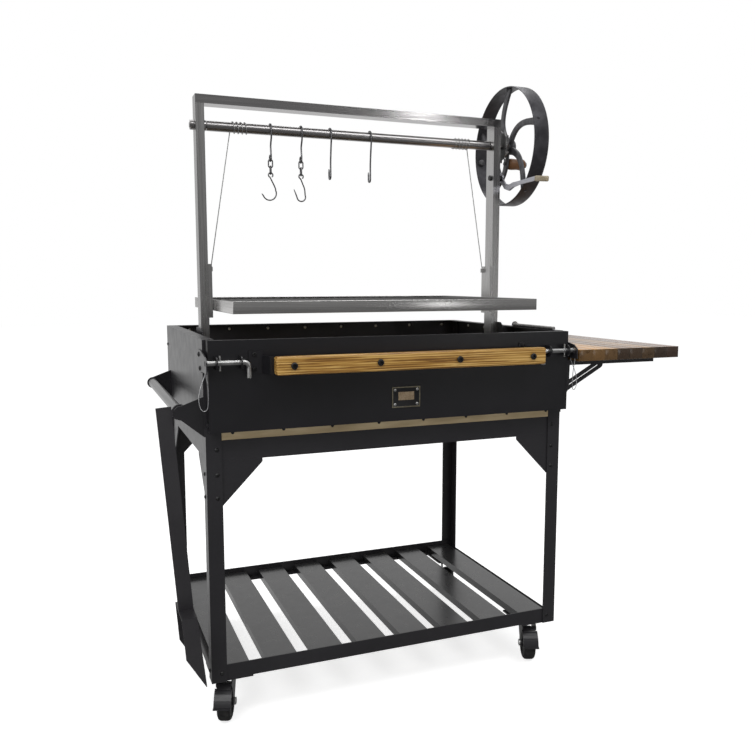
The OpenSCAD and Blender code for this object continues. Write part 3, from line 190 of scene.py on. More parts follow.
# Studio surround: white to the camera. Metal sees white walls to the left, behind and at the far
# right, and a dimmer front.
surround = bpy.data.worlds.new("white_surround")
bpy.context.scene.world = surround
surround.use_nodes = True
tree = surround.node_tree
sky = tree.nodes["Background"]
sky.inputs["Color"].default_value = (1.0, 1.0, 1.0, 1.0)
sky.inputs["Strength"].default_value = 0.40
white = put(tree, "ShaderNodeBackground", {"Color": (1.0, 1.0, 1.0, 1.0), "Strength": 1.0})
walls = put(tree, "ShaderNodeBackground", {"Color": (1.0, 1.0, 1.0, 1.0)})
facing = put(tree, "ShaderNodeTexCoord")
parted = put(tree, "ShaderNodeSeparateXYZ")
depth = put(tree, "ShaderNodeMapRange",
            {"From Min": -0.75, "From Max": 0.35, "To Min": 0.20, "To Max": 0.58},
            interpolation_type="SMOOTHSTEP")
left = put(tree, "ShaderNodeMapRange",
           {"From Min": -0.20, "From Max": -0.55, "To Min": 0.0, "To Max": 0.75},
           interpolation_type="SMOOTHSTEP")
right = put(tree, "ShaderNodeMapRange",
            {"From Min": 0.40, "From Max": 0.66, "To Min": 0.0, "To Max": 1.0},
            interpolation_type="SMOOTHSTEP")
behind = put(tree, "ShaderNodeMath", {1: 0.0}, operation="GREATER_THAN")
right_back = put(tree, "ShaderNodeMath", operation="MULTIPLY")
sides = put(tree, "ShaderNodeMath", operation="MAXIMUM")
lightest = put(tree, "ShaderNodeMath", operation="MAXIMUM")
rays = put(tree, "ShaderNodeLightPath")
seen = put(tree, "ShaderNodeMath", operation="MAXIMUM")
mirror = put(tree, "ShaderNodeMixShader")
both = put(tree, "ShaderNodeMixShader")
wire(tree,
     (facing.outputs["Generated"], parted.inputs[0]),
     (parted.outputs["Y"], depth.inputs["Value"]),
     (parted.outputs["X"], left.inputs["Value"]),
     (parted.outputs["X"], right.inputs["Value"]),
     (parted.outputs["Y"], behind.inputs[0]),
     (right.outputs["Result"], right_back.inputs[0]),
     (behind.outputs[0], right_back.inputs[1]),
     (left.outputs["Result"], sides.inputs[0]),
     (right_back.outputs[0], sides.inputs[1]),
     (depth.outputs["Result"], lightest.inputs[0]),
     (sides.outputs[0], lightest.inputs[1]),
     (lightest.outputs[0], walls.inputs["Strength"]),
     (rays.outputs["Is Glossy Ray"], mirror.inputs["Fac"]),
     (sky.outputs[0], mirror.inputs[1]),
     (walls.outputs[0], mirror.inputs[2]),
     (rays.outputs["Is Camera Ray"], seen.inputs[0]),
     (rays.outputs["Is Transmission Ray"], seen.inputs[1]),
     (seen.outputs[0], both.inputs["Fac"]),
     (mirror.outputs[0], both.inputs[1]),
     (white.outputs[0], both.inputs[2]),
     (both.outputs[0], tree.nodes["World Output"].inputs["Surface"]))


# Studio lamps: three broad soft boxes, from the left, the front and above.
# Two small ones on the right put a glint on the top bar and on the grate's rim.
def soft_lamp(name, place, aim, size, power):
    bpy.ops.object.light_add(type="AREA", location=place)
    lamp = bpy.context.object
    lamp.name = name
    lamp.data.shape = "RECTANGLE"
    lamp.data.size, lamp.data.size_y = size
    lamp.data.energy = power
    lamp.rotation_euler = (Vector(aim) - Vector(place)).to_track_quat("-Z", "Y").to_euler()


soft_lamp("lamp_key", (-2.6, -2.6, 3.2), aim=(0.0, 0.0, 0.9), size=(2.2, 2.2), power=60.0)
soft_lamp("lamp_fill", (1.3, -2.7, 4.3), aim=(0.0, 0.0, 1.1), size=(2.8, 1.2), power=44.0)
soft_lamp("lamp_glint", (1.45, -2.76, 2.30), aim=(0.2, 0.0, 1.67), size=(0.12, 0.12), power=0.95)
soft_lamp("lamp_glint_low", (1.60, -2.76, 1.16), aim=(0.2, -0.3, 1.10), size=(0.20, 0.60), power=1.2)
soft_lamp("lamp_top", (0.2, 0.8, 3.6), aim=(0.0, 0.0, 1.0), size=(2.6, 1.6), power=40.0)


# Frame and firebox: steel angle and folded sheet, bolted together under a satin black powder coat.
# The coat has a fine orange peel, and its gloss drifts a little from place to place.
def dress(finish, *names):
    for name in names:
        for place in nodes[name].material_slots:
            place.material = finish


def powder_coat(name, dark, light, shine, dull):
    made, tree, shader = new_finish(name)
    tint(tree, mottle(tree, 5.0), shader.inputs["Base Color"], [(0.35, dark), (0.65, light)])
    spread(tree, mottle(tree, 30.0), shader.inputs["Roughness"], shine, dull)
    relief(tree, shader, mottle(tree, 700.0, detail=1.0), 0.08, 0.0006)
    return made


frame_coat = powder_coat("frame_coat", dark=(0.0205, 0.0197, 0.0223),
                         light=(0.0250, 0.0240, 0.0270), shine=0.28, dull=0.34)
dress(frame_coat, "corner_posts", "aprons", "corner_gussets", "shelf_rails", "firebox_panels",
      "upright_brackets", "door_tabs")

# Shelf slats: folded sheet channels laid across the lower rails, under the same black coat.
# Loads slide over them, so their coat is rubbed smoother and shines more.
slat_coat = powder_coat("slat_coat", dark=(0.016, 0.016, 0.017),
                        light=(0.024, 0.024, 0.025), shine=0.26, dull=0.34)
shader = slat_coat.node_tree.nodes["Principled BSDF"]
shader.inputs["Coat Weight"].default_value = 0.8
shader.inputs["Coat Roughness"].default_value = 0.22
dress(slat_coat, "shelf_slats")

# Frame bolts: domed heads in blackened zinc. The heads inside the firebox, in a row just under its
# rim, get a light metal colour that is a painted highlight, so one finish changes over by place.
lit_row_half_width = 0.5240
lit_row_z, lit_row_reach = 1.013, 0.010
head_black = [(0.35, (0.014, 0.014, 0.015)), (0.65, (0.040, 0.040, 0.041))]
bolt_black, tree, shader = new_finish("bolt_black")
shader.inputs["Metallic"].default_value = 0.6
tint(tree, mottle(tree, 160.0), shader.inputs["Base Color"], head_black)
spread(tree, mottle(tree, 90.0), shader.inputs["Roughness"], 0.30, 0.45)
frame_zinc, tree, shader = new_finish("frame_zinc")
shader.inputs["Metallic"].default_value = 0.6
spread(tree, mottle(tree, 90.0), shader.inputs["Roughness"], 0.30, 0.45)
# Light grey metal for the inner row of heads: a painted highlight where they catch the light.
bare = put(tree, "ShaderNodeBsdfPrincipled", {"Metallic": 0.7, "Roughness": 0.35})
tint(tree, mottle(tree, 160.0), shader.inputs["Base Color"], head_black)
tint(tree, mottle(tree, 200.0), bare.inputs["Base Color"],
     [(0.3, (0.42, 0.42, 0.42)), (0.7, (0.66, 0.66, 0.65))])
coords = put(tree, "ShaderNodeTexCoord")
parted = put(tree, "ShaderNodeSeparateXYZ")
away = put(tree, "ShaderNodeMath", operation="ABSOLUTE")
within = put(tree, "ShaderNodeMath", {1: lit_row_half_width}, operation="LESS_THAN")
in_row = put(tree, "ShaderNodeMath", {1: lit_row_z, 2: lit_row_reach}, operation="COMPARE")
inside = put(tree, "ShaderNodeMath", operation="MULTIPLY")
either = put(tree, "ShaderNodeMixShader")
wire(tree,
     (coords.outputs["Object"], parted.inputs[0]),
     (parted.outputs["X"], away.inputs[0]),
     (away.outputs[0], within.inputs[0]),
     (parted.outputs["Z"], in_row.inputs[0]),
     (within.outputs[0], inside.inputs[0]),
     (in_row.outputs[0], inside.inputs[1]),
     (inside.outputs[0], either.inputs["Fac"]),
     (shader.outputs[0], either.inputs[1]),
     (bare.outputs[0], either.inputs[2]),
     (either.outputs[0], tree.nodes["Material Output"].inputs["Surface"]))
dress(frame_zinc, "frame_bolts")

# Firebox floor: bare oiled sheet laid on the aprons, with a front lip folded down over them.
# Oil and heat have turned it khaki, in uneven streaks.
bare_sheet, tree, shader = new_finish("bare_sheet")
shader.inputs["Metallic"].default_value = 0.15
tint(tree, mottle(tree, 22.0, (0.4, 1.0, 2.5), 6.0), shader.inputs["Base Color"],
     [(0.30, (0.40, 0.305, 0.170)), (0.52, (0.50, 0.390, 0.225)), (0.70, (0.60, 0.480, 0.290))])
spread(tree, mottle(tree, 60.0, (0.2, 1.0, 1.0)), shader.inputs["Roughness"], 0.38, 0.58)
relief(tree, shader, mottle(tree, 420.0), 0.10, 0.0004)
dress(bare_sheet, "floor_pan")


# Casters: pressed forks and pads in the black coat, hard rubber tyres on moulded nylon cores.
# The axle is a bolt with a bright hex nut on each side; only the front pair has brakes.
def only(piece):
    bpy.ops.object.select_all(action="DESELECT")
    piece.select_set(True)
    bpy.context.view_layer.objects.active = piece


def settle(piece, name, *finishes):
    only(piece)
    bpy.ops.object.transform_apply(location=True, rotation=True, scale=True)
    piece.name = name
    piece.data.name = name
    piece.data.materials.clear()
    for finish in finishes:
        piece.data.materials.append(finish)
    bpy.ops.object.shade_smooth_by_angle(angle=math.radians(35))
    return piece


def joined(pieces):
    bpy.ops.object.select_all(action="DESELECT")
    for piece in pieces:
        piece.select_set(True)
    bpy.context.view_layer.objects.active = pieces[0]
    bpy.ops.object.join()
    return pieces[0]


def eased_edges(piece, width, segments):
    only(piece)
    edge = piece.modifiers.new("edge", "BEVEL")
    edge.width = width
    edge.segments = segments
    edge.limit_method = "ANGLE"
    edge.angle_limit = math.radians(40)
    bpy.ops.object.modifier_apply(modifier=edge.name)


def round_bar(centre, radius, depth, sides, turn):
    bpy.ops.object.select_all(action="DESELECT")
    bpy.ops.mesh.primitive_cylinder_add(vertices=sides, radius=radius, depth=depth,
                                        location=centre, rotation=turn)
    return bpy.context.object


def turned(profile, centre, steps):
    bpy.ops.object.select_all(action="DESELECT")
    bpy.ops.mesh.primitive_circle_add(vertices=len(profile))
    piece = bpy.context.object
    for knot, (along, out) in zip(piece.data.vertices, profile):
        knot.co = (centre[0] + along, centre[1], centre[2] + out)
    bpy.ops.object.mode_set(mode="EDIT")
    bpy.ops.mesh.select_all(action="SELECT")
    bpy.ops.mesh.spin(steps=steps, angle=2 * math.pi, center=centre, axis=(1.0, 0.0, 0.0))
    bpy.ops.mesh.select_all(action="SELECT")
    bpy.ops.mesh.remove_doubles(threshold=0.00001)
    bpy.ops.mesh.normals_make_consistent(inside=False)
    bpy.ops.object.mode_set(mode="OBJECT")
    return piece


dress(frame_coat, "caster_plates", "caster_fork_fl", "caster_fork_fr", "caster_fork_rl",
      "caster_fork_rr", "brake_pedal_fl", "brake_pedal_fr")
tyre_rubber, tree, shader = new_finish("tyre_rubber")
shader.inputs["Specular IOR Level"].default_value = 0.3
tint(tree, mottle(tree, 70.0, detail=6.0), shader.inputs["Base Color"],
     [(0.35, (0.012, 0.012, 0.012)), (0.68, (0.030, 0.029, 0.028))])
spread(tree, mottle(tree, 140.0), shader.inputs["Roughness"], 0.55, 0.8)
relief(tree, shader, mottle(tree, 900.0), 0.2, 0.0005)
core_nylon = powder_coat("core_nylon", dark=(0.010, 0.010, 0.010),
                         light=(0.018, 0.018, 0.018), shine=0.35, dull=0.5)
nut_zinc, tree, shader = new_finish("nut_zinc")
shader.inputs["Metallic"].default_value = 1.0
tint(tree, mottle(tree, 220.0), shader.inputs["Base Color"],
     [(0.3, (0.50, 0.50, 0.50)), (0.7, (0.72, 0.72, 0.71))])
spread(tree, mottle(tree, 180.0), shader.inputs["Roughness"], 0.25, 0.42)
swivel = math.radians(-21)
caster_x, caster_y, caster_trail = 0.472, 0.278, 0.022
wheel_radius, core_radius = 0.050, 0.0368
nut_radius, nut_depth, nut_out = 0.01005, 0.0064, 0.0248
half_section = [(-0.0178, 0.00508), (-0.0178, 0.0145), (-0.0172, 0.0151), (-0.0125, 0.0168),
                (-0.0120, 0.0180), (-0.0120, 0.0332), (-0.0128, 0.0345), (-0.0157, 0.0366),
                (-0.0166, 0.0374), (-0.0170, 0.0400), (-0.0168, 0.0440), (-0.0155, 0.0466),
                (-0.0130, 0.0486), (-0.0095, 0.0497), (-0.0060, wheel_radius)]
wheel_section = half_section + [(-x, r) for x, r in reversed(half_section)]
axle = Vector((math.cos(swivel), math.sin(swivel), 0.0))
for sx, sy, corner in ((-1, -1, "fl"), (1, -1, "fr"), (-1, 1, "rl"), (1, 1, "rr")):
    hub = Vector((sx * caster_x - caster_trail * math.sin(-swivel),
                  sy * caster_y - caster_trail * math.cos(swivel), wheel_radius))
    wheel = turned(wheel_section, (0.0, 0.0, 0.0), 64)
    wheel.location = hub
    wheel.rotation_euler.z = swivel
    settle(wheel, "wheel_tyre_" + corner, core_nylon, tyre_rubber)
    for face in wheel.data.polygons:
        out = (face.center - hub).cross(axle).length
        face.material_index = 1 if out > core_radius else 0
    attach(wheel, "wheel_" + corner)
    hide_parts("caster_wheel_" + corner)
    pair = []
    for way in (-1, 1):
        nut = round_bar(hub + axle * way * nut_out, nut_radius, nut_depth, 6,
                        (0.0, math.pi / 2, swivel))
        eased_edges(nut, 0.0008, 2)
        pair.append(nut)
    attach(settle(joined(pair), "axle_nuts_" + corner, nut_zinc), "fork_" + corner)


# Lift frame: two stainless box-section uprights and a top bar, bolted and brushed along their length.
# The sleeves that slide on them, the bushes and the rim rod are the same metal.
def brushed(name, dark, light, stretch, smooth, rough):
    made, tree, shader = new_finish(name)
    shader.inputs["Metallic"].default_value = 1.0
    lines = mottle(tree, 1.0, stretch, 5.0)
    tint(tree, lines, shader.inputs["Base Color"], [(0.3, dark), (0.7, light)])
    spread(tree, lines, shader.inputs["Roughness"], smooth, rough)
    relief(tree, shader, lines, 0.06, 0.0003)
    return made


upright_steel = brushed("upright_steel", (0.47, 0.465, 0.46), (0.56, 0.555, 0.55),
                        stretch=(500.0, 500.0, 5.0), smooth=0.24, rough=0.34)
dress(upright_steel, "upright_left", "upright_right", "slide_sleeves", "rim_rod")
crossbar_steel = brushed("crossbar_steel", (0.42, 0.41, 0.41), (0.50, 0.49, 0.49),
                         stretch=(5.0, 500.0, 500.0), smooth=0.16, rough=0.23)
dress(crossbar_steel, "top_bar", "shaft_bearings")

# Winch shaft: drawn steel bar, with a collar and two cable clamps.
# It runs in the bushes, and the drawing marks lie along it.
shaft_y, shaft_z = -0.028, 1.602
shaft_steel = brushed("shaft_steel", (0.36, 0.35, 0.35), (0.44, 0.43, 0.43),
                      stretch=(3.0, 160.0, 160.0), smooth=0.26, rough=0.32)
dress(shaft_steel, "winch_shaft")


# Lift cables: stranded steel rope, wound on the shaft and running down to the sleeves.
# The straight runs shorten as the shaft takes them up.
def wire_rope(path, diameter, lay):
    strands, groove, around = 6, 0.11, 24
    bpy.ops.object.select_all(action="DESELECT")
    bpy.ops.curve.primitive_nurbs_path_add()
    section = bpy.context.object
    section.data.splines.clear()
    ring = section.data.splines.new("POLY")
    ring.points.add(around - 1)
    for i, knot in enumerate(ring.points):
        a = 2 * math.pi * i / around
        r = diameter / 2 * (1 - groove + groove * math.cos(strands * a))
        knot.co = (r * math.cos(a), r * math.sin(a), 0.0, 1.0)
    ring.use_cyclic_u = True
    bpy.ops.curve.primitive_nurbs_path_add()
    rope = bpy.context.object
    rope.data.splines.clear()
    run = rope.data.splines.new("POLY")
    run.points.add(len(path) - 1)
    done = 0.0
    for i, knot in enumerate(run.points):
        if i:
            done += (path[i] - path[i - 1]).length
        knot.co = (*path[i], 1.0)
        knot.tilt = 2 * math.pi * done / lay
    rope.data.bevel_mode = "OBJECT"
    rope.data.bevel_object = section
    rope.data.use_fill_caps = True
    only(rope)
    bpy.ops.object.convert(target="MESH")
    bpy.data.objects.remove(section)
    return rope


rope_steel = brushed("rope_steel", (0.30, 0.30, 0.30), (0.58, 0.58, 0.57),
                     stretch=(800.0, 800.0, 800.0), smooth=0.30, rough=0.48)
rope_diameter, rope_lay = 0.003, 0.022
coil_radius, coil_pitch, coil_x = 0.01575, 0.0115, 0.378
rope_y = shaft_y + coil_radius
run_top_z, run_low_x, run_low_z = 1.5982, 0.441, 1.2138
per_turn, per_run = 72, 260
tail_step = 0.0012
windings = []
for start, step, turns in ((-coil_x, coil_pitch, 4), (coil_x, -coil_pitch, 5)):
    path = [Vector((start, rope_y, shaft_z + tail_step * k)) for k in (-3, -2, -1)]
    for i in range(per_turn * turns + 1):
        a = 2 * math.pi * i / per_turn
        path.append(Vector((start + step * i / per_turn, shaft_y + coil_radius * math.cos(a),
                            shaft_z + coil_radius * math.sin(a))))
    path += [Vector((start + step * turns, rope_y, shaft_z + tail_step * k)) for k in (1, 2, 3)]
    windings.append(wire_rope(path, rope_diameter, rope_lay))
coils = settle(joined(windings), "shaft_coils", rope_steel)
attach(coils, "winch")
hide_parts("cable_windings")
runs = []
for side in (-1, 1):
    top = Vector((side * coil_x, rope_y, run_top_z))
    low = Vector((side * run_low_x, rope_y, run_low_z))
    path = [top + (low - top) * k / per_run for k in range(per_run + 1)]
    runs.append(wire_rope(path, rope_diameter, rope_lay))
ropes = settle(joined(runs), "lift_ropes", rope_steel)
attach(ropes, "cart")
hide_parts("lift_cables")
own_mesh(ropes)


# Ratchet: laser-cut wheel keyed to the shaft, and the bent lever whose nose drops into its teeth.
# The lever's end carries a moulded grip, pushed on over the flat bar.
def block(centre, size, tilt=0.0):
    bpy.ops.object.select_all(action="DESELECT")
    bpy.ops.mesh.primitive_cube_add(size=1.0, location=centre, rotation=(tilt, 0.0, 0.0), scale=size)
    bpy.ops.object.transform_apply(location=False, rotation=False, scale=True)
    return bpy.context.object


ratchet_steel = brushed("ratchet_steel", (0.20, 0.20, 0.20), (0.34, 0.34, 0.34),
                        stretch=(400.0, 400.0, 400.0), smooth=0.32, rough=0.48)
dress(ratchet_steel, "ratchet_wheel")
lever_steel = brushed("lever_steel", (0.44, 0.44, 0.48), (0.54, 0.54, 0.58),
                      stretch=(300.0, 60.0, 300.0), smooth=0.28, rough=0.40)
dress(lever_steel, "pawl_lever")
dress(bolt_black, "pawl_pivot")
grip_resin, tree, shader = new_finish("grip_resin")
tint(tree, mottle(tree, 60.0, detail=5.0), shader.inputs["Base Color"],
     [(0.3, (0.26, 0.21, 0.13)), (0.7, (0.44, 0.38, 0.27))])
spread(tree, mottle(tree, 120.0), shader.inputs["Roughness"], 0.35, 0.5)
relief(tree, shader, mottle(tree, 600.0), 0.08, 0.0004)
grip_centre, grip_size = (0.4945, -0.268, 1.4740), (0.010, 0.068, 0.0165)
grip_slope = math.radians(7.5)
grip = block(grip_centre, grip_size, grip_slope)
eased_edges(grip, 0.0045, 4)
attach(settle(grip, "lever_grip", grip_resin), "pawl")


# Hand wheel: a wide rolled steel band, five curved flat spokes and a bored hub, welded and blackened.
# A peg inside the band and a spindle for the knob are welded on.
def on_wheel(out, turn):
    return shaft_y - out * math.cos(turn), shaft_z + out * math.sin(turn)


wheel_black, tree, shader = new_finish("wheel_black")
shader.inputs["Metallic"].default_value = 0.5
tint(tree, mottle(tree, 30.0, detail=6.0), shader.inputs["Base Color"],
     [(0.32, (0.032, 0.0312, 0.036)), (0.68, (0.066, 0.064, 0.072))])
spread(tree, mottle(tree, 45.0, detail=5.0), shader.inputs["Roughness"], 0.34, 0.52)
relief(tree, shader, mottle(tree, 260.0), 0.10, 0.0005)
spoke_grey, tree, shader = new_finish("spoke_grey")
shader.inputs["Metallic"].default_value = 0.5
tint(tree, mottle(tree, 60.0, detail=6.0), shader.inputs["Base Color"],
     [(0.32, (0.070, 0.069, 0.074)), (0.68, (0.125, 0.123, 0.130))])
spread(tree, mottle(tree, 70.0, detail=5.0), shader.inputs["Roughness"], 0.36, 0.52)
relief(tree, shader, mottle(tree, 420.0), 0.12, 0.0005)
axis = (0.0, shaft_y, shaft_z)
band_inside = 0.1815
band = turned([(0.502, 0.1835), (0.5032, 0.1855), (0.505, 0.186), (0.551, 0.186),
               (0.5528, 0.1855), (0.554, 0.1835), (0.5528, 0.1822), (0.551, 0.182),
               (0.505, 0.182), (0.5032, 0.1822)], axis, 144)
boss = turned([(0.505, 0.00805), (0.505, 0.0215), (0.5065, 0.023), (0.5365, 0.023),
               (0.538, 0.0215), (0.538, 0.00805)], axis, 64)
parts = [band, boss]
spoke_count, spoke_start = 5, 16
spoke_x, spoke_thick = 0.516, 0.008
spoke_end_half, spoke_waist = 0.0124, 0.0032
spoke_root, spoke_reach, spoke_bow = 0.014, 0.170, 0.192
fine = 400
middle = []
for k in range(fine + 1):
    s = k / fine
    middle.append(Vector((spoke_root + spoke_reach * s, spoke_bow * s * (1 - s) * (1 - 0.6 * s))))
for i in range(spoke_count):
    bpy.ops.object.select_all(action="DESELECT")
    bpy.ops.mesh.primitive_grid_add(x_subdivisions=28, y_subdivisions=2, size=1.0)
    spoke = bpy.context.object
    turn = math.radians(spoke_start + 360 / spoke_count * i)
    for knot in spoke.data.vertices:
        s = knot.co.x + 0.5
        k = min(max(round(fine * s), 1), fine - 1)
        along = (middle[k + 1] - middle[k - 1]).normalized()
        half = spoke_end_half - spoke_waist * math.sin(math.pi * s)
        r, u = middle[round(fine * s)] + Vector((-along.y, along.x)) * half * 2 * knot.co.y
        y = r * math.cos(turn) - u * math.sin(turn)
        z = r * math.sin(turn) + u * math.cos(turn)
        knot.co = (spoke_x + spoke_thick / 2, shaft_y - y, shaft_z + z)
    only(spoke)
    wall = spoke.modifiers.new("wall", "SOLIDIFY")
    wall.thickness = spoke_thick
    wall.offset = 0.0
    bpy.ops.object.modifier_apply(modifier=wall.name)
    eased_edges(spoke, 0.0012, 2)
    parts.append(spoke)
knob_out, knob_turn = 0.052, math.radians(263)
knob_y, knob_z = on_wheel(knob_out, knob_turn)
parts.append(turned([(0.510, 0.0), (0.510, 0.005), (0.587, 0.005), (0.587, 0.009), (0.588, 0.010),
                     (0.590, 0.010), (0.591, 0.009), (0.591, 0.0)], (0.0, knob_y, knob_z), 32))
peg_x, peg_out, peg_turn = 0.523, 0.1785, math.radians(188)
peg_radius, peg_long = 0.010, 0.009
peg = round_bar((peg_x, *on_wheel(peg_out, peg_turn)), peg_radius, peg_long, 32,
                (math.pi / 2 - peg_turn, 0.0, 0.0))
eased_edges(peg, 0.001, 2)
parts.append(peg)
wheel = settle(joined(parts), "winch_wheel", wheel_black, spoke_grey)
for face in wheel.data.polygons:
    out = math.hypot(face.center.y - shaft_y, face.center.z - shaft_z)
    face.material_index = 0 if out > band_inside else 1
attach(wheel, "winch")
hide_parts("hand_wheel")


# Knob: turned hardwood, bored through and free to spin on its spindle.
# The grain runs along it, under a dull oil finish.
def wood_finish(name, stretch, ring_scale, tones, shine):
    made, tree, shader = new_finish(name)
    coords = put(tree, "ShaderNodeTexCoord")
    mapping = put(tree, "ShaderNodeMapping", {"Scale": stretch})
    sway = put(tree, "ShaderNodeTexNoise",
               {"Scale": 1.0, "Detail": 7.0, "Roughness": 0.62, "Distortion": 0.5})
    rings = put(tree, "ShaderNodeTexWave",
                {"Scale": ring_scale, "Distortion": 5.0, "Detail": 3.0, "Detail Scale": 1.4},
                bands_direction="Z")
    share = put(tree, "ShaderNodeMath", {1: 0.88}, operation="MULTIPLY")
    blend = put(tree, "ShaderNodeMath", {1: 0.12}, operation="MULTIPLY_ADD")
    wire(tree,
         (coords.outputs["Object"], mapping.inputs["Vector"]),
         (mapping.outputs["Vector"], sway.inputs["Vector"]),
         (mapping.outputs["Vector"], rings.inputs["Vector"]),
         (sway.outputs["Fac"], share.inputs[0]),
         (rings.outputs["Fac"], blend.inputs[0]),
         (share.outputs[0], blend.inputs[2]))
    tint(tree, blend.outputs[0], shader.inputs["Base Color"], tones)
    pores = mottle(tree, 3.0, [4 * k for k in stretch], 2.0)
    spread(tree, pores, shader.inputs["Roughness"], shine, shine + 0.18)
    relief(tree, shader, pores, 0.12, 0.0005)
    return made


knob_wood = wood_finish("knob_wood", (10.0, 90.0, 90.0), 0.5,
                        [(0.2, (0.10, 0.040, 0.014)), (0.5, (0.17, 0.075, 0.028)),
                         (0.8, (0.24, 0.115, 0.045))], shine=0.35)
knob = turned([(0.526, 0.00508), (0.526, 0.0125), (0.5272, 0.0152), (0.530, 0.0169),
               (0.535, 0.0178), (0.541, 0.0180), (0.549, 0.0174), (0.557, 0.0166),
               (0.564, 0.0169), (0.571, 0.0177), (0.577, 0.0177), (0.582, 0.0162),
               (0.585, 0.0135), (0.586, 0.0105), (0.586, 0.00508)], (0.0, knob_y, knob_z), 48)
settle(knob, "winch_knob", knob_wood)
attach(knob, "knob")
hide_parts("hand_knob")


# Grate: stainless flat bar welded into a rim, its edges ground round, with V bars laid front to back,
# so fat runs off along them. The bars and the inside of the rim get a darker steel colour as painted
# shade.
def cut(piece, tool):
    only(piece)
    bore = piece.modifiers.new("bore", "BOOLEAN")
    bore.object = tool
    bpy.ops.object.modifier_apply(modifier=bore.name)
    bpy.data.objects.remove(tool)


rim_steel = brushed("rim_steel", (0.60, 0.59, 0.58), (0.72, 0.71, 0.70),
                    stretch=(5.0, 5.0, 500.0), smooth=0.20, rough=0.26)
# Darker steel for the rim's inside faces and the V bars: painted shade inside the grate.
painted_shade_steel = brushed("painted_shade_steel", (0.12, 0.117, 0.117), (0.19, 0.186, 0.184),
                       stretch=(5.0, 5.0, 500.0), smooth=0.18, rough=0.26)
vbar_steel = brushed("vbar_steel", (0.085, 0.083, 0.082), (0.15, 0.148, 0.145),
                     stretch=(500.0, 5.0, 500.0), smooth=0.30, rough=0.42)
dress(vbar_steel, "grate_bars")
rim_y, rim_z = -0.028, 1.105
rim_wide, rim_deep, rim_tall, rim_wall = 0.890, 0.613, 0.032, 0.003
hollow_wide, hollow_deep, hollow_tall = rim_wide - 2 * rim_wall, rim_deep - 2 * rim_wall, 0.050
rim = block((0.0, rim_y, rim_z), (rim_wide, rim_deep, rim_tall))
cut(rim, block((0.0, rim_y, rim_z), (hollow_wide, hollow_deep, hollow_tall)))
eased_edges(rim, 0.0011, 3)
settle(rim, "tray_rim", rim_steel, painted_shade_steel)
inner_face_margin = 0.0002
# Faces inside the rim take the darker finish, as painted shade.
for face in rim.data.polygons:
    inner = (abs(face.center.x) < hollow_wide / 2 + inner_face_margin
             and abs(face.center.y - rim_y) < hollow_deep / 2 + inner_face_margin)
    face.material_index = 1 if inner else 0
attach(rim, "grate")
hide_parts("grate_rim")

# Door: one folded sheet that drops forward on two pins, with strap brackets for its handle.
# It has the same powder coat as the frame, but a deeper black.
door_coat = powder_coat("door_coat", dark=(0.0102, 0.0099, 0.0118),
                        light=(0.0125, 0.0121, 0.0144), shine=0.30, dull=0.36)
dress(door_coat, "door_panel", "door_brackets")

# Door handle: an oiled hardwood bar with rounded edges, bolted to the straps.
# The grain runs along it in short uneven streaks.
handle_wood = wood_finish("handle_wood", (5.0, 150.0, 150.0), 0.35,
                          [(0.39, (0.15, 0.062, 0.009)), (0.46, (0.32, 0.158, 0.027)),
                           (0.53, (0.45, 0.255, 0.058)), (0.60, (0.62, 0.395, 0.125))], shine=0.28)
handle_x, handle_y, handle_z = 0.018, -0.442, 0.966
handle_long, handle_thick, handle_tall = 0.768, 0.028, 0.046
handle = block((handle_x, handle_y, handle_z), (handle_long, handle_thick, handle_tall))
eased_edges(handle, 0.006, 5)
settle(handle, "handle_bar", handle_wood)
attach(handle, "door")
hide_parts("door_handle")

# Door bolts: blackened button heads with hex sockets, four through the handle and four smaller ones
# in the feet of the straps.
head_radius, head_depth, head_crown = 0.0055, 0.0045, 0.0018
socket_radius, socket_depth, socket_out = 0.0030, 0.0060, 0.0050
handle_face, foot_face = handle_y - handle_thick / 2, -0.391
big, small = 1.6, 1.0
forward = (math.pi / 2, 0.0, 0.0)
spots = [(handle_x + along, handle_face, handle_z, big)
         for along in (-0.3401, -0.1134, 0.1134, 0.3401)]
spots += [(x, foot_face, z, small) for x in (-0.406, 0.366) for z in (0.954, 0.992)]
heads = []
for x, y, z, size in spots:
    head = round_bar((x, y - head_depth / 2 * size, z), head_radius * size, head_depth * size,
                     36, forward)
    eased_edges(head, head_crown * size, 4)
    cut(head, round_bar((x, y - socket_out * size, z), socket_radius * size, socket_depth * size,
                        6, forward))
    heads.append(head)
buttons = settle(joined(heads), "door_buttons", bolt_black)
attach(buttons, "door")
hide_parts("door_bolts")

# Name plate: a small black plate with a thin bright rim, held by a nickel screw in each corner.
# The bronze field in its middle is blank.
plate_rim, tree, shader = new_finish("plate_rim")
shader.inputs["Metallic"].default_value = 0.8
tint(tree, mottle(tree, 120.0), shader.inputs["Base Color"],
     [(0.3, (0.20, 0.18, 0.13)), (0.7, (0.34, 0.31, 0.23))])
spread(tree, mottle(tree, 160.0), shader.inputs["Roughness"], 0.30, 0.46)
plate_black = powder_coat("plate_black", dark=(0.006, 0.006, 0.007),
                          light=(0.009, 0.009, 0.010), shine=0.30, dull=0.40)
plate_bronze, tree, shader = new_finish("plate_bronze")
shader.inputs["Metallic"].default_value = 0.3
tint(tree, mottle(tree, 260.0, detail=6.0), shader.inputs["Base Color"],
     [(0.3, (0.24, 0.17, 0.10)), (0.7, (0.38, 0.29, 0.19))])
spread(tree, mottle(tree, 90.0), shader.inputs["Roughness"], 0.34, 0.52)
relief(tree, shader, mottle(tree, 500.0), 0.10, 0.0004)
plate_x, plate_y, plate_z = 0.006, -0.3895, 0.863
plate_wide, plate_thick, plate_tall = 0.082, 0.003, 0.056
plate_lip, plate_sink, plate_edge = 0.003, 0.001, 0.0005
plate = block((plate_x, plate_y, plate_z), (plate_wide, plate_thick, plate_tall))
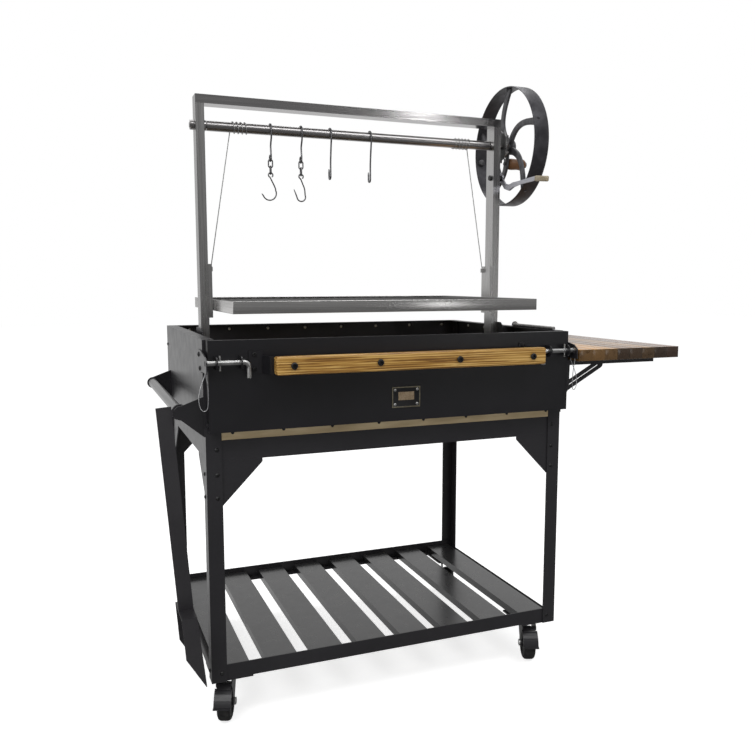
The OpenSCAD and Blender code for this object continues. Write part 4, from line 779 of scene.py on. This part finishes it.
bpy.ops.object.mode_set(mode="EDIT")
bpy.ops.mesh.select_all(action="DESELECT")
bpy.ops.object.mode_set(mode="OBJECT")
for face in plate.data.polygons:
    face.select = face.normal.y < -0.9
bpy.ops.object.mode_set(mode="EDIT")
bpy.ops.mesh.select_mode(type="FACE")
bpy.ops.mesh.inset(thickness=plate_lip)
bpy.ops.transform.translate(value=(0.0, plate_sink, 0.0))
bpy.ops.object.mode_set(mode="OBJECT")
eased_edges(plate, plate_edge, 2)
settle(plate, "blank_plate", plate_rim, plate_black)
for face in plate.data.polygons:
    inner = (abs(face.center.x - plate_x) < plate_wide / 2 - plate_lip - plate_edge
             and abs(face.center.z - plate_z) < plate_tall / 2 - plate_lip - plate_edge)
    face.material_index = 1 if inner and face.normal.y < -0.9 else 0
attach(plate, "door")
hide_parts("name_plate")
field_y, field_z = -0.3900, 0.866
field_wide, field_thick, field_tall = 0.046, 0.0016, 0.0225
field = block((plate_x, field_y, field_z), (field_wide, field_thick, field_tall))
eased_edges(field, 0.0004, 2)
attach(settle(field, "plate_field", plate_bronze), "door")
screw_x, screw_y, screw_z = 0.0325, -0.3898, 0.0195
screw_radius, screw_flat = 0.0040, 0.4
screws = []
for sx in (-1, 1):
    for sz in (-1, 1):
        bpy.ops.object.select_all(action="DESELECT")
        bpy.ops.mesh.primitive_uv_sphere_add(
            segments=20, ring_count=10, radius=screw_radius,
            location=(plate_x + sx * screw_x, screw_y, plate_z + sz * screw_z))
        screw = bpy.context.object
        bpy.ops.object.mode_set(mode="EDIT")
        bpy.ops.mesh.select_all(action="SELECT")
        bpy.ops.transform.resize(value=(1.0, screw_flat, 1.0))
        bpy.ops.object.mode_set(mode="OBJECT")
        screws.append(screw)
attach(settle(joined(screws), "plate_screws", nut_zinc), "door")

# Lock pins: bent galvanised rod with a cross pin, sliding in lugs on the door.
# The zinc is dull and a little uneven where the rod was dipped.
pin_zinc = brushed("pin_zinc", (0.44, 0.44, 0.44), (0.66, 0.66, 0.65),
                   stretch=(60.0, 90.0, 90.0), smooth=0.26, rough=0.44)
dress(pin_zinc, "lock_pin_left", "lock_pin_right")

# Side table: hardwood staves glued edge to edge, on two folding steel arms with slotted braces.
# Each stave has its own tone. Near the top face the colour is scaled up to 4.5 times lighter than at
# the sides and front edge, a painted sheen.
dress(frame_coat, "table_brackets", "table_arms", "table_braces")
stave_count, stave_wide, stave_deep, stave_thick = 8, 0.046, 0.640, 0.034
table_x0, table_y, table_z = 0.560, -0.068, 0.955
table_x1 = table_x0 + stave_count * stave_wide
top_z, stave_edge = table_z + stave_thick / 2, 0.0008
stave_wood, tree, shader = new_finish("stave_wood")
coords = put(tree, "ShaderNodeTexCoord")
parted = put(tree, "ShaderNodeSeparateXYZ")
across = put(tree, "ShaderNodeMapRange", {"From Min": table_x0, "From Max": table_x1})
order = put(tree, "ShaderNodeMath", {1: float(stave_count)}, operation="MULTIPLY")
whole = put(tree, "ShaderNodeMath", operation="FLOOR")
shift = put(tree, "ShaderNodeVectorMath", {1: (3.1, 5.7, 1.9)}, operation="MULTIPLY")
moved = put(tree, "ShaderNodeVectorMath", operation="ADD")
mapping = put(tree, "ShaderNodeMapping", {"Scale": (55.0, 4.0, 55.0)})
sway = put(tree, "ShaderNodeTexNoise", {"Scale": 1.0, "Detail": 6.0, "Distortion": 0.8})
tone = put(tree, "ShaderNodeMix", data_type="RGBA", blend_type="MULTIPLY")
tone.inputs["Factor"].default_value = 1.0
# The top face is painted lighter than the sides and front edge: a painted sheen, not the wood's colour.
upper = put(tree, "ShaderNodeMapRange",
            {"From Min": top_z - stave_edge, "From Max": top_z - stave_edge / 4,
             "To Min": 1.0, "To Max": 4.5})
top_sheen_scale = put(tree, "ShaderNodeVectorMath", operation="SCALE")
wire(tree,
     (coords.outputs["Object"], parted.inputs[0]),
     (parted.outputs["X"], across.inputs["Value"]),
     (across.outputs["Result"], order.inputs[0]),
     (order.outputs[0], whole.inputs[0]),
     (whole.outputs[0], shift.inputs[0]),
     (coords.outputs["Object"], moved.inputs[0]),
     (shift.outputs[0], moved.inputs[1]),
     (moved.outputs[0], mapping.inputs["Vector"]),
     (mapping.outputs["Vector"], sway.inputs["Vector"]),
     (parted.outputs["Z"], upper.inputs["Value"]),
     (tone.outputs[2], top_sheen_scale.inputs[0]),
     (upper.outputs["Result"], top_sheen_scale.inputs["Scale"]),
     (top_sheen_scale.outputs[0], shader.inputs["Base Color"]))
tint(tree, across.outputs["Result"], tone.inputs[6],
     [(0.0, (0.140, 0.072, 0.020)), (0.125, (0.155, 0.080, 0.023)),
      (0.25, (0.120, 0.064, 0.021)), (0.375, (0.048, 0.027, 0.014)),
      (0.5, (0.056, 0.032, 0.016)), (0.625, (0.080, 0.046, 0.020)),
      (0.75, (0.042, 0.025, 0.015)), (0.875, (0.050, 0.028, 0.018))], steps=True)
tint(tree, sway.outputs["Fac"], tone.inputs[7],
     [(0.25, (0.55, 0.52, 0.50)), (0.5, (0.95, 0.95, 0.95)), (0.75, (1.0, 1.0, 1.0))])
spread(tree, sway.outputs["Fac"], shader.inputs["Roughness"], 0.26, 0.40)
shader.inputs["Coat Weight"].default_value = 0.45
shader.inputs["Coat Roughness"].default_value = 0.14
relief(tree, shader, sway.outputs["Fac"], 0.15, 0.0006)
staves = []
for i in range(stave_count):
    stave = block((table_x0 + stave_wide * (i + 0.5), table_y, table_z),
                  (stave_wide, stave_deep, stave_thick))
    eased_edges(stave, stave_edge, 2)
    staves.append(stave)
board = settle(joined(staves), "table_board", stave_wood)
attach(board, "table")
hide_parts("table_top")

# Tool bar and ash shovel: bare round bar welded between coated plates, and a flat-handled folded scoop.
# The bar's metal shows only between the plates, so one finish changes over at their inside faces.
tool_coat = powder_coat("tool_coat", dark=(0.027, 0.0255, 0.0285),
                        light=(0.035, 0.0335, 0.0365), shine=0.28, dull=0.36)
dress(tool_coat, "ash_shovel")
bar_middle_y, bar_half_length = -0.025, 0.3219
rail_finish, tree, shader = new_finish("rail_finish")
steel = put(tree, "ShaderNodeBsdfPrincipled", {"Metallic": 1.0})
tint(tree, mottle(tree, 1.0, (300.0, 5.0, 300.0), 5.0), steel.inputs["Base Color"],
     [(0.3, (0.30, 0.30, 0.30)), (0.7, (0.42, 0.42, 0.42))])
spread(tree, mottle(tree, 1.0, (300.0, 5.0, 300.0), 5.0), steel.inputs["Roughness"], 0.28, 0.42)
tint(tree, mottle(tree, 5.0), shader.inputs["Base Color"],
     [(0.35, (0.016, 0.0155, 0.0175)), (0.65, (0.020, 0.0195, 0.0215))])
spread(tree, mottle(tree, 30.0), shader.inputs["Roughness"], 0.20, 0.26)
coords = put(tree, "ShaderNodeTexCoord")
parted = put(tree, "ShaderNodeSeparateXYZ")
offset = put(tree, "ShaderNodeMath", {1: bar_middle_y}, operation="SUBTRACT")
away = put(tree, "ShaderNodeMath", operation="ABSOLUTE")
between = put(tree, "ShaderNodeMath", {1: bar_half_length}, operation="LESS_THAN")
either = put(tree, "ShaderNodeMixShader")
wire(tree,
     (coords.outputs["Object"], parted.inputs[0]),
     (parted.outputs["Y"], offset.inputs[0]),
     (offset.outputs[0], away.inputs[0]),
     (away.outputs[0], between.inputs[0]),
     (between.outputs[0], either.inputs["Fac"]),
     (shader.outputs[0], either.inputs[1]),
     (steel.outputs[0], either.inputs[2]),
     (either.outputs[0], tree.nodes["Material Output"].inputs["Surface"]))
dress(rail_finish, "tool_bar")


# Hooks: bent round steel, left dark from the mill, hung over the winch shaft.
# Two of them carry a chain link and a lower hook.
def bent_rod(path, diameter, closed=False):
    bpy.ops.object.select_all(action="DESELECT")
    bpy.ops.curve.primitive_nurbs_path_add()
    rod = bpy.context.object
    rod.data.splines.clear()
    run = rod.data.splines.new("POLY")
    run.points.add(len(path) - 1)
    last = len(path) - 1
    for i, knot in enumerate(run.points):
        knot.co = (*path[i], 1.0)
        if not closed:
            knot.radius = min(1.0, 0.55 + 0.2 * min(i, last - i))
    run.use_cyclic_u = closed
    rod.data.bevel_depth = diameter / 2
    rod.data.bevel_resolution = 4
    rod.data.use_fill_caps = not closed
    only(rod)
    bpy.ops.object.convert(target="MESH")
    return rod


def arc_points(x, y, z, radius, start, stop, count, plane):
    points = []
    for i in range(count + 1):
        a = math.radians(start + (stop - start) * i / count)
        u, v = radius * math.cos(a), radius * math.sin(a)
        points.append(Vector((x, y + u, z + v)) if plane == "yz" else Vector((x + u, y, z + v)))
    return points


def over_shaft(x):
    return arc_points(x, shaft_y, shaft_z, 0.017, -25, 180, 16, "yz")


def hanger_path(x):
    return eased_route(over_shaft(x)
                       + [Vector((x, -0.045, 1.594)), Vector((x, -0.0416, 1.578)),
                          Vector((x, -0.0331, 1.558)), Vector((x, -0.0366, 1.532))]
                       + arc_points(x, shaft_y, 1.524, 0.0085, 165, 450, 14, "yz"), 3)


def j_hook_path(x, low):
    return eased_route(over_shaft(x)
                       + [Vector((x, -0.045, 1.592)), Vector((x, -0.04024, 1.562)),
                          Vector((x, -0.03565, 1.522)), Vector((x, -0.036, low + 0.016))]
                       + arc_points(x, shaft_y, low + 0.008, 0.008, 180, 360, 10, "yz")
                       + [Vector((x, -0.020, low + 0.020)), Vector((x, -0.019, low + 0.030))], 3)


def link_path(x, z, along_x):
    bend, straight, around = 0.006, 0.0055, 48
    points = []
    for i in range(around):
        a = 2 * math.pi * (i + 0.5) / around
        u = bend * math.cos(a)
        v = bend * math.sin(a) + (straight if math.sin(a) > 0 else -straight)
        points.append(Vector((x + u, shaft_y, z + v)) if along_x else Vector((x, shaft_y + u, z + v)))
    return points


def lower_path(x, bow, side, tip):
    reach = bow + side
    foot = 1.405
    return eased_route(arc_points(x, shaft_y, 1.4764, 0.0065, -60, 250, 14, "xz")
                       + [Vector((x + 0.001, shaft_y, 1.4644)),
                          Vector((x + reach * 0.45, shaft_y, 1.4524)),
                          Vector((x + reach * 0.8, shaft_y, 1.4404))]
                       + arc_points(x + side, shaft_y, foot + bow, bow, 22, -150, 14, "xz")
                       + [Vector((x + along, shaft_y, foot + up)) for along, up in tip], 3)


hook_steel = brushed("hook_steel", (0.10, 0.10, 0.105), (0.22, 0.22, 0.225),
                     stretch=(220.0, 220.0, 120.0), smooth=0.30, rough=0.46)
hook_diameter, link_diameter = 0.005, 0.004
link_z, second_link_z = 1.5088, 1.4901
for x, letter, bow, side, tip in (
        (-0.266, "a", 0.020, -0.004, ((-0.023, 0.013), (-0.027, 0.018))),
        (-0.175, "b", 0.013, 0.0, ((-0.015, 0.017), (-0.022, 0.034)))):
    upper = settle(bent_rod(hanger_path(x), hook_diameter), "hanger_" + letter, hook_steel)
    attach(upper, "hook_" + letter + "_upper")
    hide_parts("hook_" + letter + "_upper")
    link = settle(bent_rod(link_path(x, link_z, True), link_diameter, True),
                  "link_" + letter, hook_steel)
    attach(link, "hook_" + letter + "_link")
    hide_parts("hook_" + letter + "_link")
    second = bent_rod(link_path(x, second_link_z, False), link_diameter, True)
    lower = bent_rod(lower_path(x, bow, side, tip), link_diameter)
    settle(joined([lower, second]), "lower_hook_" + letter, hook_steel)
    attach(lower, "hook_" + letter + "_lower")
    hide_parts("hook_" + letter + "_lower")
for x, low, letter in ((-0.086, 1.473, "c"), (0.040, 1.470, "d")):
    hook = settle(bent_rod(j_hook_path(x, low), hook_diameter), "plain_hook_" + letter, hook_steel)
    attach(hook, "hook_" + letter)
    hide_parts("hook_" + letter)
